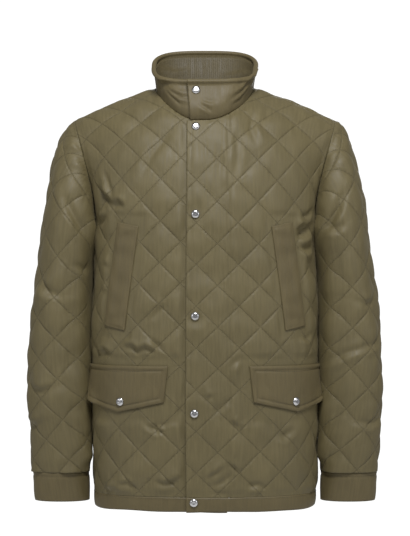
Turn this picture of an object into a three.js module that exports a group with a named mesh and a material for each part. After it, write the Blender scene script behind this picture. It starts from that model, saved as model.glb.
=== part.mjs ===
// A hip-length quilted jacket, filled out and buttoned up as if worn, with nobody in it.
// Every piece of cloth starts as a flat pattern piece, as a maker cuts it: a point of the cloth is
// (across, up) in millimetres along the weave, and one function wraps it round the figure.
// x points to the wearer's left, y to the back and z up. The origin is the middle of the neck
// opening, level with the top of the shoulder seams, where the jacket hangs on its wearer.
import * as THREE from "three";

// Driving dimensions, mm.
const HEM_Z = -728; // bottom edge below the top of the shoulder
const CHEST_Z = -255; // bottom of the armholes
const BAND_HEIGHT = 25; // hem band
const BODY_SQUARENESS = 2.7; // 2 is an ellipse, more is boxier
const NECK_HALF = 87; // half the width between the tops of the shoulder seams
const SHOULDER_HALF = 229; // half the width between the shoulder tips
const SHOULDER_SLOPE = 0.4; // drop for each mm outwards
const SHOULDER_ARCH = 4; // how far the shoulder seam rises over a straight line
const RIDGE_Y = 8; // how far behind the origin the shoulder seams run
const RIDGE_TILT = 0.2; // how steeply the cloth still rises where it meets the shoulder seam
const EASE = 1.09; // cloth length from chest to shoulder over the straight line
const FRONT_NECK_SHARE = 0.56; // where the front neckline crosses the centre, as a share of that cloth
const BACK_NECK_SHARE = 0.87;
const FLY_LAP = 31; // the wearer's left front passes the centre by this much
const FLY_STITCH = 40; // the line of stitches that holds the fly, past the centre
const FLY_STEP = 4.2; // how far the lapping front stands off the one below
const FLY_FADE = 34; // and comes back to it over this distance past the fly's stitches
const UNDERLAP = 37; // the wearer's right front runs on this far under the other one
const SEAM_GAP = 0.3;

const CLOTH = 2.5; // shell, thin wadding and lining pressed together at a stitch line
const PUFF = 4.2; // how far the middle of a diamond stands out
const DIAMOND = 70; // width and height of one quilted diamond
const SEAM_PRESS = 16; // the wadding thins out over this distance from a seam
const OUTER_CELL = DIAMOND / 4;
const FRAME_STEP = 0.5; // half the distance over which directions on the cloth are measured

// Torso, from the hem up: height, half width, depth of the front and of the back from the middle.
const torsoSections = [
  { z: -728, half: 193, front: 141, back: 126 },
  { z: -650, half: 196, front: 146, back: 130 },
  { z: -550, half: 198.5, front: 150, back: 132 },
  { z: -450, half: 198, front: 149, back: 131 },
  { z: -350, half: 195.5, front: 145, back: 130 },
  { z: -255, half: 191, front: 140, back: 130 },
  { z: -200, half: 190, front: 137, back: 130 },
];

// Sleeve, from the hand up: height, x of its outer and inner side, middle and half depth.
const sleeveSections = [
  { z: -724, outer: 296, inner: 201, middle: -28, depth: 37 },
  { z: -675, outer: 299.5, inner: 202, middle: -27, depth: 42 },
  { z: -600, outer: 304, inner: 202.5, middle: -22, depth: 52 },
  { z: -500, outer: 307.5, inner: 202.5, middle: -14, depth: 64 },
  { z: -400, outer: 303.5, inner: 202.5, middle: -4, depth: 74 },
  { z: -330, outer: 294, inner: 202.5, middle: 1, depth: 80 },
  { z: -290, outer: 290, inner: 203, middle: 2, depth: 82 },
];
const SLEEVE_SQUARENESS = 2.2;
const CUFF_TOP_Z = -670;
const CUFF_BOTTOM_Z = -720;
const CUFF_WALL = 3;
const BICEP_Z = -330; // above this the sleeve bends in to the armhole
const TIP_PULL = 0.5; // how strongly the sleeve keeps the direction it leaves the shoulder's tip in
const UNDERARM_PULL = 0.8; // and the same at the underarm
const HEAD_DROOP = 10; // degrees that the sleeve turns down from the shoulder's slope at its tip
const UNDERARM_FOLD = 180; // degrees that it turns at the underarm, where it hangs beside the body
const FOLD_FROM = 0.04; // shares of the half armhole between which that turn happens
const FOLD_TO = 0.97;
const ARMHOLE_GAP = 0.75; // between the armhole's edge and the sleeve
const UNDERARM_CLEAR = 3.2; // how far the sleeve stands off the body under the arm

// Armhole scoops on the pattern pieces: innermost point and underarm.
const frontArmhole = { inmost: 232, bend: 70, underarm: -3 };
const backArmhole = { inmost: 218, bend: 95, underarm: -3 };

// Collar: a standing band whose top edge lies in a tilted plane.
const COLLAR_RIM = { half: 91, front: -80, back: 60, squareness: 3.1, level: 44, tilt: 0.468 };
const COLLAR_ROLL = 4.2; // radius of its rolled top edge
const COLLAR_WALL = 2.2;
const COLLAR_OVER = 31; // how far past the centre its upper end reaches at the neck seam
const COLLAR_UNDER = 15; // and its lower end, the other way
const END_SPREAD = 1.25; // how much wider the rim's ends lie past the centre than the rest of it
const COLLAR_STEP = 9.6; // how far the rim of the upper end stands off the lower one
const COLLAR_TUCK = 1.5; // how deep the collar starts inside the neckline
const COLLAR_LAP = 5; // how far its upper end stands off the neck seam, to clear the lower one
const COLLAR_LEAN = 62; // degrees it turns up from the cloth at the neck seam
const COLLAR_FLARE = 0.12; // outward part of its direction at the rim
const COLLAR_STATION = 14; // distance between the rings of its mesh
const FACING_WALL = 1.2;
const FACING_GAP = 0.4;
const FACING_INSET = 2; // the facing ends this far short of where the collar overlaps itself

// Flat pieces sewn on a front: places on the pattern piece of the wearer's left front.
const flap = {
  top: 246,
  drop: 61, // height beside its point
  point: 18, // how far the point comes down below that
  half: 87, // half its width
  slant: 7, // how far its inner edge runs in on the way down
  tip: -5.5, // place of the point from its middle
  flare: 18, // how far its outer corner stands away from the body
  curlFrom: 0.45, // share of its half width from which it bends away
  curl: 1.3, // how late on the way down it does
};
const flapMiddle = { left: 158.5, right: 146.5 };
const welt = {
  topInner: 114,
  topOuter: 154,
  bottomInner: 134,
  bottomOuter: 176,
  top: 481,
  bottom: 305,
  rise: 8, // how much higher its outer corners lie than its inner ones
};
const FLARE_ASIDE = 0.25; // sideways share of a flap's flare
const APPLIED_CLEAR = 1.1; // clearance of flaps and welts over the pressed quilting
const APPLIED_WALL = 2;
const SNAP_RADIUS = 7.3;
const SNAP_HEIGHT = 3.6;
const snapRows = [
  { name: "snap_front_1", across: -15.5, up: 650 },
  { name: "snap_front_2", across: -16, up: 501 },
  { name: "snap_front_3", across: -16, up: 330 },
  { name: "snap_front_4", across: -17, up: 167 },
  { name: "snap_front_5", across: -18.5, up: 17 },
];

const OLIVE = 0x6a6045;
const OLIVE_DARK = 0x5f563f;
const STEEL = 0xb9b9bb;
const cloth = () => new THREE.MeshStandardMaterial({ color: OLIVE, roughness: 0.62 });
const plainCloth = () => new THREE.MeshStandardMaterial({ color: OLIVE_DARK, roughness: 0.66 });
const metal = () => new THREE.MeshStandardMaterial({ color: STEEL, roughness: 0.28, metalness: 1 });

const mix = THREE.MathUtils.lerp;
// Eases from 0 at from to 1 at to; from may be the larger of the two.
function smoothstep(from, to, x) {
  const t = THREE.MathUtils.clamp((x - from) / (to - from), 0, 1);
  return t * t * (3 - 2 * t);
}
const vector = (x, y, z) => new THREE.Vector3(x, y, z);

// Value of one column of a table of sections at height z, on a smooth curve through the rows.
function column(rows, key, z) {
  const last = rows.length - 2;
  let k = rows.findIndex((row, i) => i > 0 && z <= row.z) - 1;
  k = k < 0 ? (z < rows[0].z ? 0 : last) : k;
  const [a, b] = [rows[k], rows[k + 1]];
  const before = rows[Math.max(k - 1, 0)];
  const after = rows[Math.min(k + 2, rows.length - 1)];
  const t = (z - a.z) / (b.z - a.z);
  const slopeA = ((b[key] - before[key]) / (b.z - before.z)) * (b.z - a.z);
  const slopeB = ((after[key] - a[key]) / (after.z - a.z)) * (b.z - a.z);
  return hermite(a[key], slopeA, b[key], slopeB, t);
}

// Cubic from value a with slope u at t 0 to value b with slope v at t 1.
function hermite(a, u, b, v, t) {
  const [t2, t3] = [t * t, t * t * t];
  return a * (2 * t3 - 3 * t2 + 1) + u * (t3 - 2 * t2 + t) + b * (3 * t2 - 2 * t3) + v * (t3 - t2);
}

function hermiteVector(a, u, b, v, t) {
  const along = (key) => hermite(a[key], u[key], b[key], v[key], t);
  return vector(along("x"), along("y"), along("z"));
}

// A quarter of a rounded rectangle: angle 0 is straight ahead, a quarter turn is the side.
function quarterPoint(half, depth, squareness, angle) {
  const power = 2 / squareness;
  const across = half * Math.max(Math.sin(angle), 0) ** power;
  return [across, depth * Math.max(Math.cos(angle), 0) ** power];
}

// Lengths along a curve of [x, y] points, and the parameter at a given length.
function measured(curve, from, to, steps = 400) {
  const lengths = [0];
  let previous = curve(from);
  for (let i = 1; i <= steps; i++) {
    const next = curve(mix(from, to, i / steps));
    const step = Math.hypot(...next.map((value, k) => value - previous[k]));
    lengths.push(lengths[i - 1] + step);
    previous = next;
  }
  const length = lengths[steps];
  const at = (distance) => {
    const wanted = Math.min(Math.max(distance, 0), length);
    let low = 0;
    let high = steps;
    while (high - low > 1) {
      const half = (low + high) >> 1;
      if (lengths[half] <= wanted) low = half;
      else high = half;
    }
    const part = (wanted - lengths[low]) / Math.max(lengths[high] - lengths[low], 1e-9);
    return mix(from, to, (low + part) / steps);
  };
  return { length, at };
}

// The torso at chest height, once for the front and once for the back.
const chestRow = { half: column(torsoSections, "half", CHEST_Z) };
const quarter = Object.fromEntries(
  ["front", "back"].map((side) => {
    const depth = column(torsoSections, side, CHEST_Z);
    const curve = (angle) => quarterPoint(chestRow.half, depth, BODY_SQUARENESS, angle);
    return [side, measured(curve, 0, Math.PI / 2)];
  }),
);
const CHEST_UP = CHEST_Z - HEM_Z;

function torsoRing(side, angle, z) {
  const half = column(torsoSections, "half", z);
  const depth = column(torsoSections, side, z);
  const [x, y] = quarterPoint(half, depth, BODY_SQUARENESS, angle);
  return vector(x, side === "front" ? -y : y, z);
}

// The line of the shoulder seam, carried on inwards over the neck and outwards past the tip.
function shoulderRidge(reach) {
  if (reach < NECK_HALF) {
    const rise = (SHOULDER_SLOPE * (NECK_HALF ** 2 - reach ** 2)) / (2 * NECK_HALF);
    return vector(reach, RIDGE_Y, rise);
  }
  const past = Math.max(reach - SHOULDER_HALF, 0);
  const along = reach - NECK_HALF - past;
  const arch = SHOULDER_ARCH * Math.sin((Math.PI * along) / (SHOULDER_HALF - NECK_HALF)) ** 2;
  return vector(reach - 0.5 * past, RIDGE_Y, arch - SHOULDER_SLOPE * along - past);
}

// Cloth from the chest line up to the shoulder seam, for one distance from the centre.
function chestToShoulder(side, reach) {
  const angle = quarter[side].at(reach);
  const from = torsoRing(side, angle, CHEST_Z);
  const to = shoulderRidge(reach);
  const length = EASE * from.distanceTo(to);
  const rise = torsoRing(side, angle, CHEST_Z + 1).sub(from).multiplyScalar(length);
  const back = side === "front" ? 1 : -1;
  const over = vector(0, back, RIDGE_TILT).normalize().multiplyScalar(length);
  return { from, to, rise, over, length };
}

// Where the point (across, up) of a front or back piece lies on the figure.
function torso(side, across, up) {
  const reach = Math.abs(across);
  let point;
  if (up <= CHEST_UP) {
    point = torsoRing(side, quarter[side].at(reach), HEM_Z + up);
  } else {
    const { from, to, rise, over, length } = chestToShoulder(side, reach);
    point = hermiteVector(from, rise, to, over, (up - CHEST_UP) / length);
  }
  point.x *= Math.sign(across) || 1;
  return point;
}

// The frame of a surface: its point, its unit normal away from the wearer, and its two directions.
function frameOf(surface, across, up, outward = 1) {
  const step = FRAME_STEP;
  const along = surface(across + step, up).sub(surface(across - step, up)).normalize();
  const rise = surface(across, up + step).sub(surface(across, up - step)).normalize();
  const normal = along.clone().cross(rise).normalize().multiplyScalar(outward);
  return { point: surface(across, up), normal, along, rise };
}
const front = (across, up) => torso("front", across, up);
const back = (across, up) => torso("back", across, up);
const frontFrame = (across, up) => frameOf(front, across, up, 1);
const backFrame = (across, up) => frameOf(back, across, up, -1);

// Height of the quilting: 0 on the stitch lines, 1 in the middle of a diamond.
function quilting(across, up, phase) {
  const a = (across - phase.across) / DIAMOND;
  const b = (up - phase.up) / DIAMOND;
  const ridge = Math.abs(Math.sin(Math.PI * (a + b)) * Math.sin(Math.PI * (a - b)));
  return Math.sqrt(ridge);
}

// Distance from a point to an outline, both on the flat pattern piece.
function distanceToOutline(outline, x, y) {
  let least = Infinity;
  outline.forEach(([ax, ay], i) => {
    const [bx, by] = outline[(i + 1) % outline.length];
    const [dx, dy] = [bx - ax, by - ay];
    const share = ((x - ax) * dx + (y - ay) * dy) / Math.max(dx * dx + dy * dy, 1e-9);
    const t = Math.min(Math.max(share, 0), 1);
    least = Math.min(least, Math.hypot(x - ax - t * dx, y - ay - t * dy));
  });
  return least;
}

// Cuts an outline into rows a fixed distance apart and fills it with triangles whose corners lie on
// the quilting's lattice inside and on the outline at the edge. The outline runs anticlockwise, and
// each of its two sides only ever rises. Returns flat points, triangles and the loop round the edge.
function cutPiece(rightSide, leftSide, cell, phase, heightAt) {
  const points = [];
  const known = new Map();
  const add = (x, y) => {
    const key = `${x.toFixed(3)},${y.toFixed(3)}`;
    if (!known.has(key)) {
      known.set(key, points.length);
      points.push([x, y]);
    }
    return known.get(key);
  };
  const bottom = Math.min(rightSide[0][1], leftSide[0][1]);
  const top = Math.max(rightSide.at(-1)[1], leftSide.at(-1)[1]);
  const crossing = (side, y) => {
    const k = side.findIndex((point, i) => i > 0 && point[1] >= y - 1e-6);
    const [[ax, ay], [bx, by]] = [side[k - 1], side[k]];
    return by - ay < 1e-9 ? ax : mix(ax, bx, (y - ay) / (by - ay));
  };
  const levels = [bottom];
  const firstRow = Math.ceil((bottom - phase.up) / cell);
  for (let j = firstRow; phase.up + j * cell < top; j++) {
    const y = phase.up + j * cell;
    if (y > bottom + 0.35 * cell && y < top - 0.2 * cell) levels.push(y);
  }
  levels.push(top);
  const rows = levels.map((y) => {
    const [left, right] = [crossing(leftSide, y), crossing(rightSide, y)];
    const columns = new Map();
    const firstColumn = Math.ceil((left - phase.across) / cell);
    for (let i = firstColumn; phase.across + i * cell < right; i++) {
      const x = phase.across + i * cell;
      if (x > left + 0.35 * cell && x < right - 0.35 * cell) columns.set(i, add(x, y));
    }
    return { y, left: add(left, y), right: add(right, y), columns };
  });
  const triangles = [];
  const fill = (loop) => {
    const clean = loop.filter((index, i) => index !== loop[(i + 1) % loop.length]);
    if (clean.length < 3) return;
    const contour = clean.map((index) => new THREE.Vector2(...points[index]));
    THREE.ShapeUtils.triangulateShape(contour, []).forEach((corners) => {
      const [a, b, c] = corners.map((corner) => contour[corner]);
      const area = (b.x - a.x) * (c.y - a.y) - (c.x - a.x) * (b.y - a.y);
      const indices = corners.map((corner) => clean[corner]);
      triangles.push(area > 0 ? indices : indices.reverse());
    });
  };
  const between = (side, low, high) =>
    side.filter(([, y]) => y > low + 1e-6 && y < high - 1e-6).map(([x, y]) => add(x, y));
  for (let j = 0; j + 1 < rows.length; j++) {
    const [low, high] = [rows[j], rows[j + 1]];
    const leftEdge = between(leftSide, low.y, high.y);
    const rightEdge = between(rightSide, low.y, high.y);
    const shared = [...low.columns.keys()].filter((i) => high.columns.has(i));
    const ordered = (row, keep) => [...row.columns].filter(([i]) => keep(i)).map(([, v]) => v);
    if (shared.length === 0) {
      const all = () => true;
      const upper = [high.left, ...ordered(high, all), high.right].reverse();
      const lower = [low.left, ...ordered(low, all), low.right];
      fill([...lower, ...rightEdge, ...upper, ...leftEdge.reverse()]);
      continue;
    }
    const [first, last] = [shared[0], shared.at(-1)];
    const lowLeft = ordered(low, (i) => i <= first);
    const highLeft = ordered(high, (i) => i <= first);
    fill([low.left, ...lowLeft, ...highLeft.reverse(), high.left, ...leftEdge.reverse()]);
    const lowRight = ordered(low, (i) => i >= last);
    const highRight = ordered(high, (i) => i >= last);
    fill([...lowRight, low.right, ...rightEdge, high.right, ...highRight.reverse()]);
    for (let i = first; i < last; i++) {
      const [a, b] = [low.columns.get(i), low.columns.get(i + 1)];
      const [d, c] = [high.columns.get(i), high.columns.get(i + 1)];
      const [ha, hb, hc, hd] = [a, b, c, d].map((v) => heightAt(...points[v]));
      const rising = Math.abs(ha - hc) + 0.01 * (ha + hc);
      const falling = Math.abs(hb - hd) + 0.01 * (hb + hd);
      if (rising < falling) triangles.push([a, b, c], [a, c, d]);
      else triangles.push([a, b, d], [b, c, d]);
    }
  }
  return { points, triangles };
}

// The same piece with its mirror image joined on along the line across = 0.
function mirrored({ points, triangles }) {
  const all = points.slice();
  const twin = points.map(([x, y], i) => (Math.abs(x) < 1e-6 ? i : all.push([-x, y]) - 1));
  const turned = triangles.map(([a, b, c]) => [twin[a], twin[c], twin[b]]);
  return { points: all, triangles: [...triangles, ...turned] };
}

// The loop of corners round the edge of a filled piece, from the lowest, leftmost one.
function edgeLoop({ points, triangles }) {
  const next = new Map();
  const edges = new Set(triangles.flatMap(([a, b, c]) => [`${a},${b}`, `${b},${c}`, `${c},${a}`]));
  for (const edge of edges) {
    const [a, b] = edge.split(",").map(Number);
    if (!edges.has(`${b},${a}`)) next.set(a, b);
  }
  const rank = (i) => points[i][1] * 1000 + points[i][0];
  const start = [...next.keys()].reduce((best, i) => (rank(i) < rank(best) ? i : best));
  const loop = [start];
  for (let i = next.get(start); i !== start; i = next.get(i)) loop.push(i);
  return loop;
}

// Triangles of a band between two loops that run side by side, whatever their numbers of corners.
function bandBetween(loopA, loopB, pointA, pointB) {
  const shares = (loop, point) => {
    const steps = loop.map((index, i) => {
      const [ax, ay] = point(index);
      const [bx, by] = point(loop[(i + 1) % loop.length]);
      return Math.hypot(bx - ax, by - ay);
    });
    const total = steps.reduce((sum, step) => sum + step, 0);
    let sum = 0;
    return [0, ...steps.map((step) => (sum += step) / total)];
  };
  const [sharesA, sharesB] = [shares(loopA, pointA), shares(loopB, pointB)];
  const triangles = [];
  let [i, j] = [0, 0];
  while (i < loopA.length || j < loopB.length) {
    const [a, b] = [loopA[i % loopA.length], loopB[j % loopB.length]];
    if (j === loopB.length || (i < loopA.length && sharesA[i + 1] <= sharesB[j + 1])) {
      triangles.push([a, b, loopA[(i + 1) % loopA.length]]);
      i++;
    } else {
      triangles.push([a, b, loopB[(j + 1) % loopB.length]]);
      j++;
    }
  }
  return triangles;
}

// Geometry of a closed surface, turned so that its faces point out.
function closedGeometry(corners, triangles) {
  const volume = triangles.reduce((sum, [a, b, c]) => {
    return sum + corners[a].dot(corners[b].clone().cross(corners[c]));
  }, 0);
  const turned = volume > 0 ? triangles : triangles.map(([a, b, c]) => [a, c, b]);
  const geometry = new THREE.BufferGeometry();
  const positions = corners.flatMap(({ x, y, z }) => [x, y, z]);
  geometry.setAttribute("position", new THREE.Float32BufferAttribute(positions, 3));
  geometry.setIndex(turned.flat());
  geometry.computeVertexNormals();
  return geometry;
}

// A wall of cloth: a fine outer skin and a coarser inner one, joined round the edge.
function wall(outer, inner, placeOuter, placeInner) {
  const corners = [...outer.points.map(placeOuter), ...inner.points.map(placeInner)];
  const shift = outer.points.length;
  const outerLoop = edgeLoop(outer);
  const innerLoop = edgeLoop(inner).map((i) => i + shift);
  const outerPoint = (i) => outer.points[i];
  const innerPoint = (i) => inner.points[i - shift];
  const band = bandBetween(outerLoop, innerLoop, outerPoint, innerPoint);
  const inside = inner.triangles.map(([a, b, c]) => [a + shift, c + shift, b + shift]);
  return closedGeometry(corners, [...outer.triangles, ...inside, ...band]);
}

function arc(steps, curve) {
  return Array.from({ length: steps + 1 }, (_, i) => curve(i / steps));
}

const shoulderUp = (side, reach) => CHEST_UP + chestToShoulder(side, reach).length;
const neckUp = {
  front: CHEST_UP + FRONT_NECK_SHARE * chestToShoulder("front", 0).length,
  back: CHEST_UP + BACK_NECK_SHARE * chestToShoulder("back", 0).length,
};

// Neckline of a half piece from the centre to the top of the shoulder seam.
function neckline(side, steps = 12) {
  const top = shoulderUp(side, NECK_HALF);
  return arc(steps, (t) => {
    const angle = (t * Math.PI) / 2;
    const across = NECK_HALF * Math.sin(angle);
    return [across, mix(neckUp[side], top, 1 - Math.cos(angle))];
  });
}

// Armhole of a half piece from the side seam to the shoulder tip.
function armhole(side, steps = 14) {
  const { inmost, bend, underarm } = side === "front" ? frontArmhole : backArmhole;
  const sideSeam = quarter[side].length;
  const low = CHEST_UP + underarm;
  const scoop = arc(steps, (t) => {
    const angle = (t * Math.PI) / 2;
    return [sideSeam - (sideSeam - inmost) * Math.sin(angle), low + bend * (1 - Math.cos(angle))];
  });
  const tip = shoulderUp(side, SHOULDER_HALF);
  const rise = arc(steps, (t) => [
    mix(inmost, SHOULDER_HALF, Math.sin((t * Math.PI) / 2)),
    mix(low + bend, tip, t),
  ]);
  return [...scoop, ...rise.slice(1)];
}

function shoulderSeam(side, steps = 6) {
  return arc(steps, (t) => {
    const reach = mix(SHOULDER_HALF, NECK_HALF, t);
    return [reach, shoulderUp(side, reach)];
  });
}

// The two rising sides of a half piece whose centre edge runs at x = centre.
function halfOutline(side, centre) {
  const seam = quarter[side].length - SEAM_GAP / 2;
  const hem = BAND_HEIGHT + SEAM_GAP;
  const shoulderTrim = SEAM_GAP / 2 + CLOTH * RIDGE_TILT;
  const hole = armhole(side).map(([x, y]) => [Math.min(x, seam), y]);
  const shoulder = shoulderSeam(side).map(([x, y]) => [x, y - shoulderTrim]);
  const outside = [[seam, hem], ...hole.slice(0, -1), ...shoulder];
  const neck = neckline(side).slice(0, -1);
  const start = neck[0][1];
  const middle = centre < 0 ? [[centre, start]] : [];
  const inside = [[centre, hem], ...middle, ...neck, shoulder.at(-1)];
  return { outside, inside };
}

// 1 between two values and 0 outside them, easing over the margins near and far from each.
function within(low, high, near, far, x) {
  return smoothstep(low - far, low - near, x) * smoothstep(high + far, high + near, x);
}

// Where flaps and welts lie on a front, the quilting below them is pressed nearly flat.
const PRESSED_SHARE = 0.12; // what is left of the puff there
function pressed(sign, across, up) {
  const middle = sign > 0 ? flapMiddle.left : flapMiddle.right;
  const flapBottom = flap.top - flap.drop - flap.point;
  const inFlap = within(middle - flap.half, middle + flap.half, 10, 24, across);
  const flapRows = within(flapBottom, flap.top, 10, 24, up);
  const share = (welt.top - up) / (welt.top - welt.bottom);
  const inner = mix(welt.topInner, welt.bottomInner, share);
  const outer = mix(welt.topOuter, welt.bottomOuter, share);
  const inWelt = within(inner, outer, 7, 17, across);
  const weltRows = within(welt.bottom, welt.top + welt.rise, 8, 20, up);
  return mix(1, PRESSED_SHARE, Math.max(inFlap * flapRows, inWelt * weltRows));
}

// A snap pulls the cloth in all round it.
const SNAP_PULL = { share: 0.35, from: 8, to: 26 };
function awayFromSnaps(across, up) {
  const distances = snapRows.map((snap) => Math.hypot(across - snap.across, up - snap.up));
  return mix(SNAP_PULL.share, 1, smoothstep(SNAP_PULL.from, SNAP_PULL.to, Math.min(...distances)));
}

// The sleeve and the body press each other's wadding where they lie side by side. From and to are
// shares of the way from the middle of the piece to its seam.
const bodyPress = { share: 0.32, from: 0.72, to: 0.95 };
const sleevePress = { share: 0.25, from: 0.55, to: 0.85 };
const pressedBy = ({ share, from, to }, x) => mix(1, share, smoothstep(from, to, x));
const besideSleeve = (side, across) => pressedBy(bodyPress, Math.abs(across) / quarter[side].length);

const phases = {
  front_right: { across: 41, up: 455 },
  front_left: { across: 55.5, up: 416.5 },
  back: { across: 0, up: 440 },
  sleeve_left: { across: -29, up: 250 },
  sleeve_right: { across: -24, up: 232 },
};

// A mesh of cloth from the two rising sides of a flat outline. place(x, y, offset) gives the point
// at a height above the base surface, height(x, y) is the share of the full puff and wallAt the
// thickness where the cloth is not padded.
function clothMesh({
  right,
  left,
  phase,
  place,
  height,
  puff = PUFF,
  wallAt = CLOTH,
  cell = OUTER_CELL,
  innerCell = 2 * cell,
  twin,
  material,
}) {
  const fill = (size, at) => {
    const piece = cutPiece(right, left, size, phase, at);
    return twin ? mirrored(piece) : piece;
  };
  const outer = fill(cell, height);
  const inner = fill(innerCell, () => 0);
  const geometry = wall(
    outer,
    inner,
    ([x, y]) => place(x, y, puff * height(x, y)),
    ([x, y]) => place(x, y, -wallAt),
  );
  return new THREE.Mesh(geometry, material ?? cloth());
}

// How far the lapping front stands off the base surface.
const lapAt = (across) => smoothstep(FLY_STITCH + FLY_FADE, FLY_STITCH, across);
const flyStep = (across) => FLY_STEP * lapAt(across);

// Places a point of a front. The wearer's left one, sign 1, laps over the right one, sign -1.
const onFront = (sign) => (x, y, offset) => {
  const { point, normal } = frontFrame(sign * x, y);
  return point.addScaledVector(normal, offset + (sign > 0 ? flyStep(x) : 0));
};
const onBack = (x, y, offset) => {
  const { point, normal } = backFrame(x, y);
  return point.addScaledVector(normal, offset);
};

function frontPiece(sign) {
  const lapping = sign > 0;
  const { outside, inside } = halfOutline("front", lapping ? -FLY_LAP : -UNDERLAP);
  const phase = lapping ? phases.front_left : phases.front_right;
  const outline = [...outside, ...inside.slice().reverse()];
  const height = (x, y) => {
    const seam = smoothstep(0, SEAM_PRESS, distanceToOutline(outline, x, y));
    const open = lapping ? awayFromSnaps(x, y) : smoothstep(FLY_LAP + 2, FLY_LAP + 14, x);
    return quilting(x, y, phase) * seam * open * pressed(sign, x, y) * besideSleeve("front", x);
  };
  return clothMesh({ right: outside, left: inside, phase, place: onFront(sign), height });
}

function backPiece() {
  const { outside, inside } = halfOutline("back", 0);
  const outline = [...outside, ...outside.map(([x, y]) => [-x, y]).reverse()];
  const neck = neckline("back");
  const height = (x, y) => {
    const edge = Math.min(distanceToOutline(outline, x, y), distanceToOutline(neck, Math.abs(x), y));
    return quilting(x, y, phases.back) * smoothstep(0, SEAM_PRESS, edge) * besideSleeve("back", x);
  };
  const phase = phases.back;
  return clothMesh({ right: outside, left: inside, phase, place: onBack, height, twin: true });
}

// The hem band: plain cloth turned up, a little rounded across its height.
const HEM_WALL = 2.8;
const HEM_BULGE = 1.2;
const UNDER_BULGE = 0.7; // the same on the front that lies below the other one
const HEM_CELL = BAND_HEIGHT / 2;
function hemBand(side, sign, centre) {
  const seam = quarter[side].length - SEAM_GAP / 2;
  const right = [[seam, 0], [seam, BAND_HEIGHT]];
  const left = [[centre, 0], [centre, BAND_HEIGHT]];
  const height = (x, y) => Math.sin((Math.PI * y) / BAND_HEIGHT);
  const under = side === "front" && sign < 0;
  return clothMesh({
    right,
    left,
    phase: { across: 0, up: 0 },
    place: side === "front" ? onFront(sign) : onBack,
    height,
    puff: under ? UNDER_BULGE : HEM_BULGE,
    wallAt: HEM_WALL,
    cell: HEM_CELL,
    twin: side === "back",
    material: plainCloth(),
  });
}

// Rings of the sleeve. Angle 0 is the outer side, a half turn the seam under the arm.
function sleeveRing(angle, z) {
  const [outer, inner] = [column(sleeveSections, "outer", z), column(sleeveSections, "inner", z)];
  const depth = column(sleeveSections, "depth", z);
  const turn = Math.abs(angle);
  const [across, along] = [Math.sin(turn), Math.cos(turn)];
  const power = 2 / SLEEVE_SQUARENESS;
  const x = (outer + inner) / 2 + ((outer - inner) / 2) * Math.sign(along) * Math.abs(along) ** power;
  const y = column(sleeveSections, "middle", z) + Math.sign(angle) * depth * across ** power;
  return vector(x, y, z);
}

const halfRings = new Map();
function halfRing(z) {
  const key = z.toFixed(2);
  if (!halfRings.has(key)) {
    halfRings.set(key, measured((angle) => sleeveRing(angle, z).toArray(), 0, Math.PI, 240));
  }
  return halfRings.get(key);
}

const SLEEVE_BEND = BICEP_Z - CUFF_TOP_Z; // length of the sleeve below its head
const sleeveHalf = halfRing(BICEP_Z).length;

// A place on the armhole: share 0 is the shoulder tip and 1 the underarm.
const armholePaths = Object.fromEntries(
  ["front", "back"].map((side) => {
    const corners = armhole(side).reverse();
    const before = corners.map((_, i) => corners[Math.max(i - 1, 0)]);
    const steps = corners.map(([x, y], i) => Math.hypot(x - before[i][0], y - before[i][1]));
    let sum = 0;
    const along = steps.map((step) => (sum += step));
    return [side, { corners, shares: along.map((length) => length / sum) }];
  }),
);

function armholePoint(side, share) {
  const { corners, shares } = armholePaths[side];
  const k = Math.max(1, shares.findIndex((value) => value >= share - 1e-9));
  const t = (share - shares[k - 1]) / (shares[k] - shares[k - 1]);
  return [mix(corners[k - 1][0], corners[k][0], t), mix(corners[k - 1][1], corners[k][1], t)];
}

// Starts a piece sewn to an edge of a front or back: where, and which way it leaves. The turn is 0
// when it carries the cloth straight on, 90 when it stands up off it and 180 when it folds back.
function sewnOn(side, edgePoint, alongEdge, turn, gap) {
  const frame = side === "front" ? frontFrame(...edgePoint) : backFrame(...edgePoint);
  const edge = frame.along.clone().multiplyScalar(alongEdge[0]);
  edge.addScaledVector(frame.rise, alongEdge[1]);
  const out = edge.clone().cross(frame.normal).normalize();
  const radians = THREE.MathUtils.degToRad(turn);
  const [cosine, sine] = [Math.cos(radians), Math.sin(radians)];
  const leaving = out.clone().multiplyScalar(cosine).addScaledVector(frame.normal, sine);
  const clear = gap + CLOTH * Math.max(0, -sine);
  const start = frame.point.clone().addScaledVector(out, clear);
  return { start, leaving, normal: frame.normal };
}

const HEAD_SPAN = 0.03; // share of the armhole over which its direction is measured
const headCache = new Map();
function sleeveHead(across) {
  const key = across.toFixed(3);
  if (headCache.has(key)) return headCache.get(key);
  const share = Math.min(Math.abs(across) / sleeveHalf, 1);
  const side = across < 0 ? "front" : "back";
  const before = armholePoint(side, Math.max(share - HEAD_SPAN, 0));
  const after = armholePoint(side, Math.min(share + HEAD_SPAN, 1));
  const facing = side === "front" ? -1 : 1;
  const tangent = [(after[0] - before[0]) * facing, (after[1] - before[1]) * facing];
  const fold = smoothstep(FOLD_FROM, FOLD_TO, share);
  const turn = mix(HEAD_DROOP, UNDERARM_FOLD, fold);
  const edgePoint = armholePoint(side, share);
  const { start, leaving, normal } = sewnOn(side, edgePoint, tangent, turn, ARMHOLE_GAP);
  start.addScaledVector(normal, UNDERARM_CLEAR * smoothstep(0.2, 0.9, fold));
  const angle = halfRing(BICEP_Z).at(Math.abs(across));
  const foot = sleeveRing(Math.sign(across || 1) * angle, BICEP_Z);
  const pull = mix(TIP_PULL, UNDERARM_PULL, fold);
  const head = { start, leaving, foot, length: EASE * foot.distanceTo(start), pull };
  headCache.set(key, head);
  return head;
}

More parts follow.
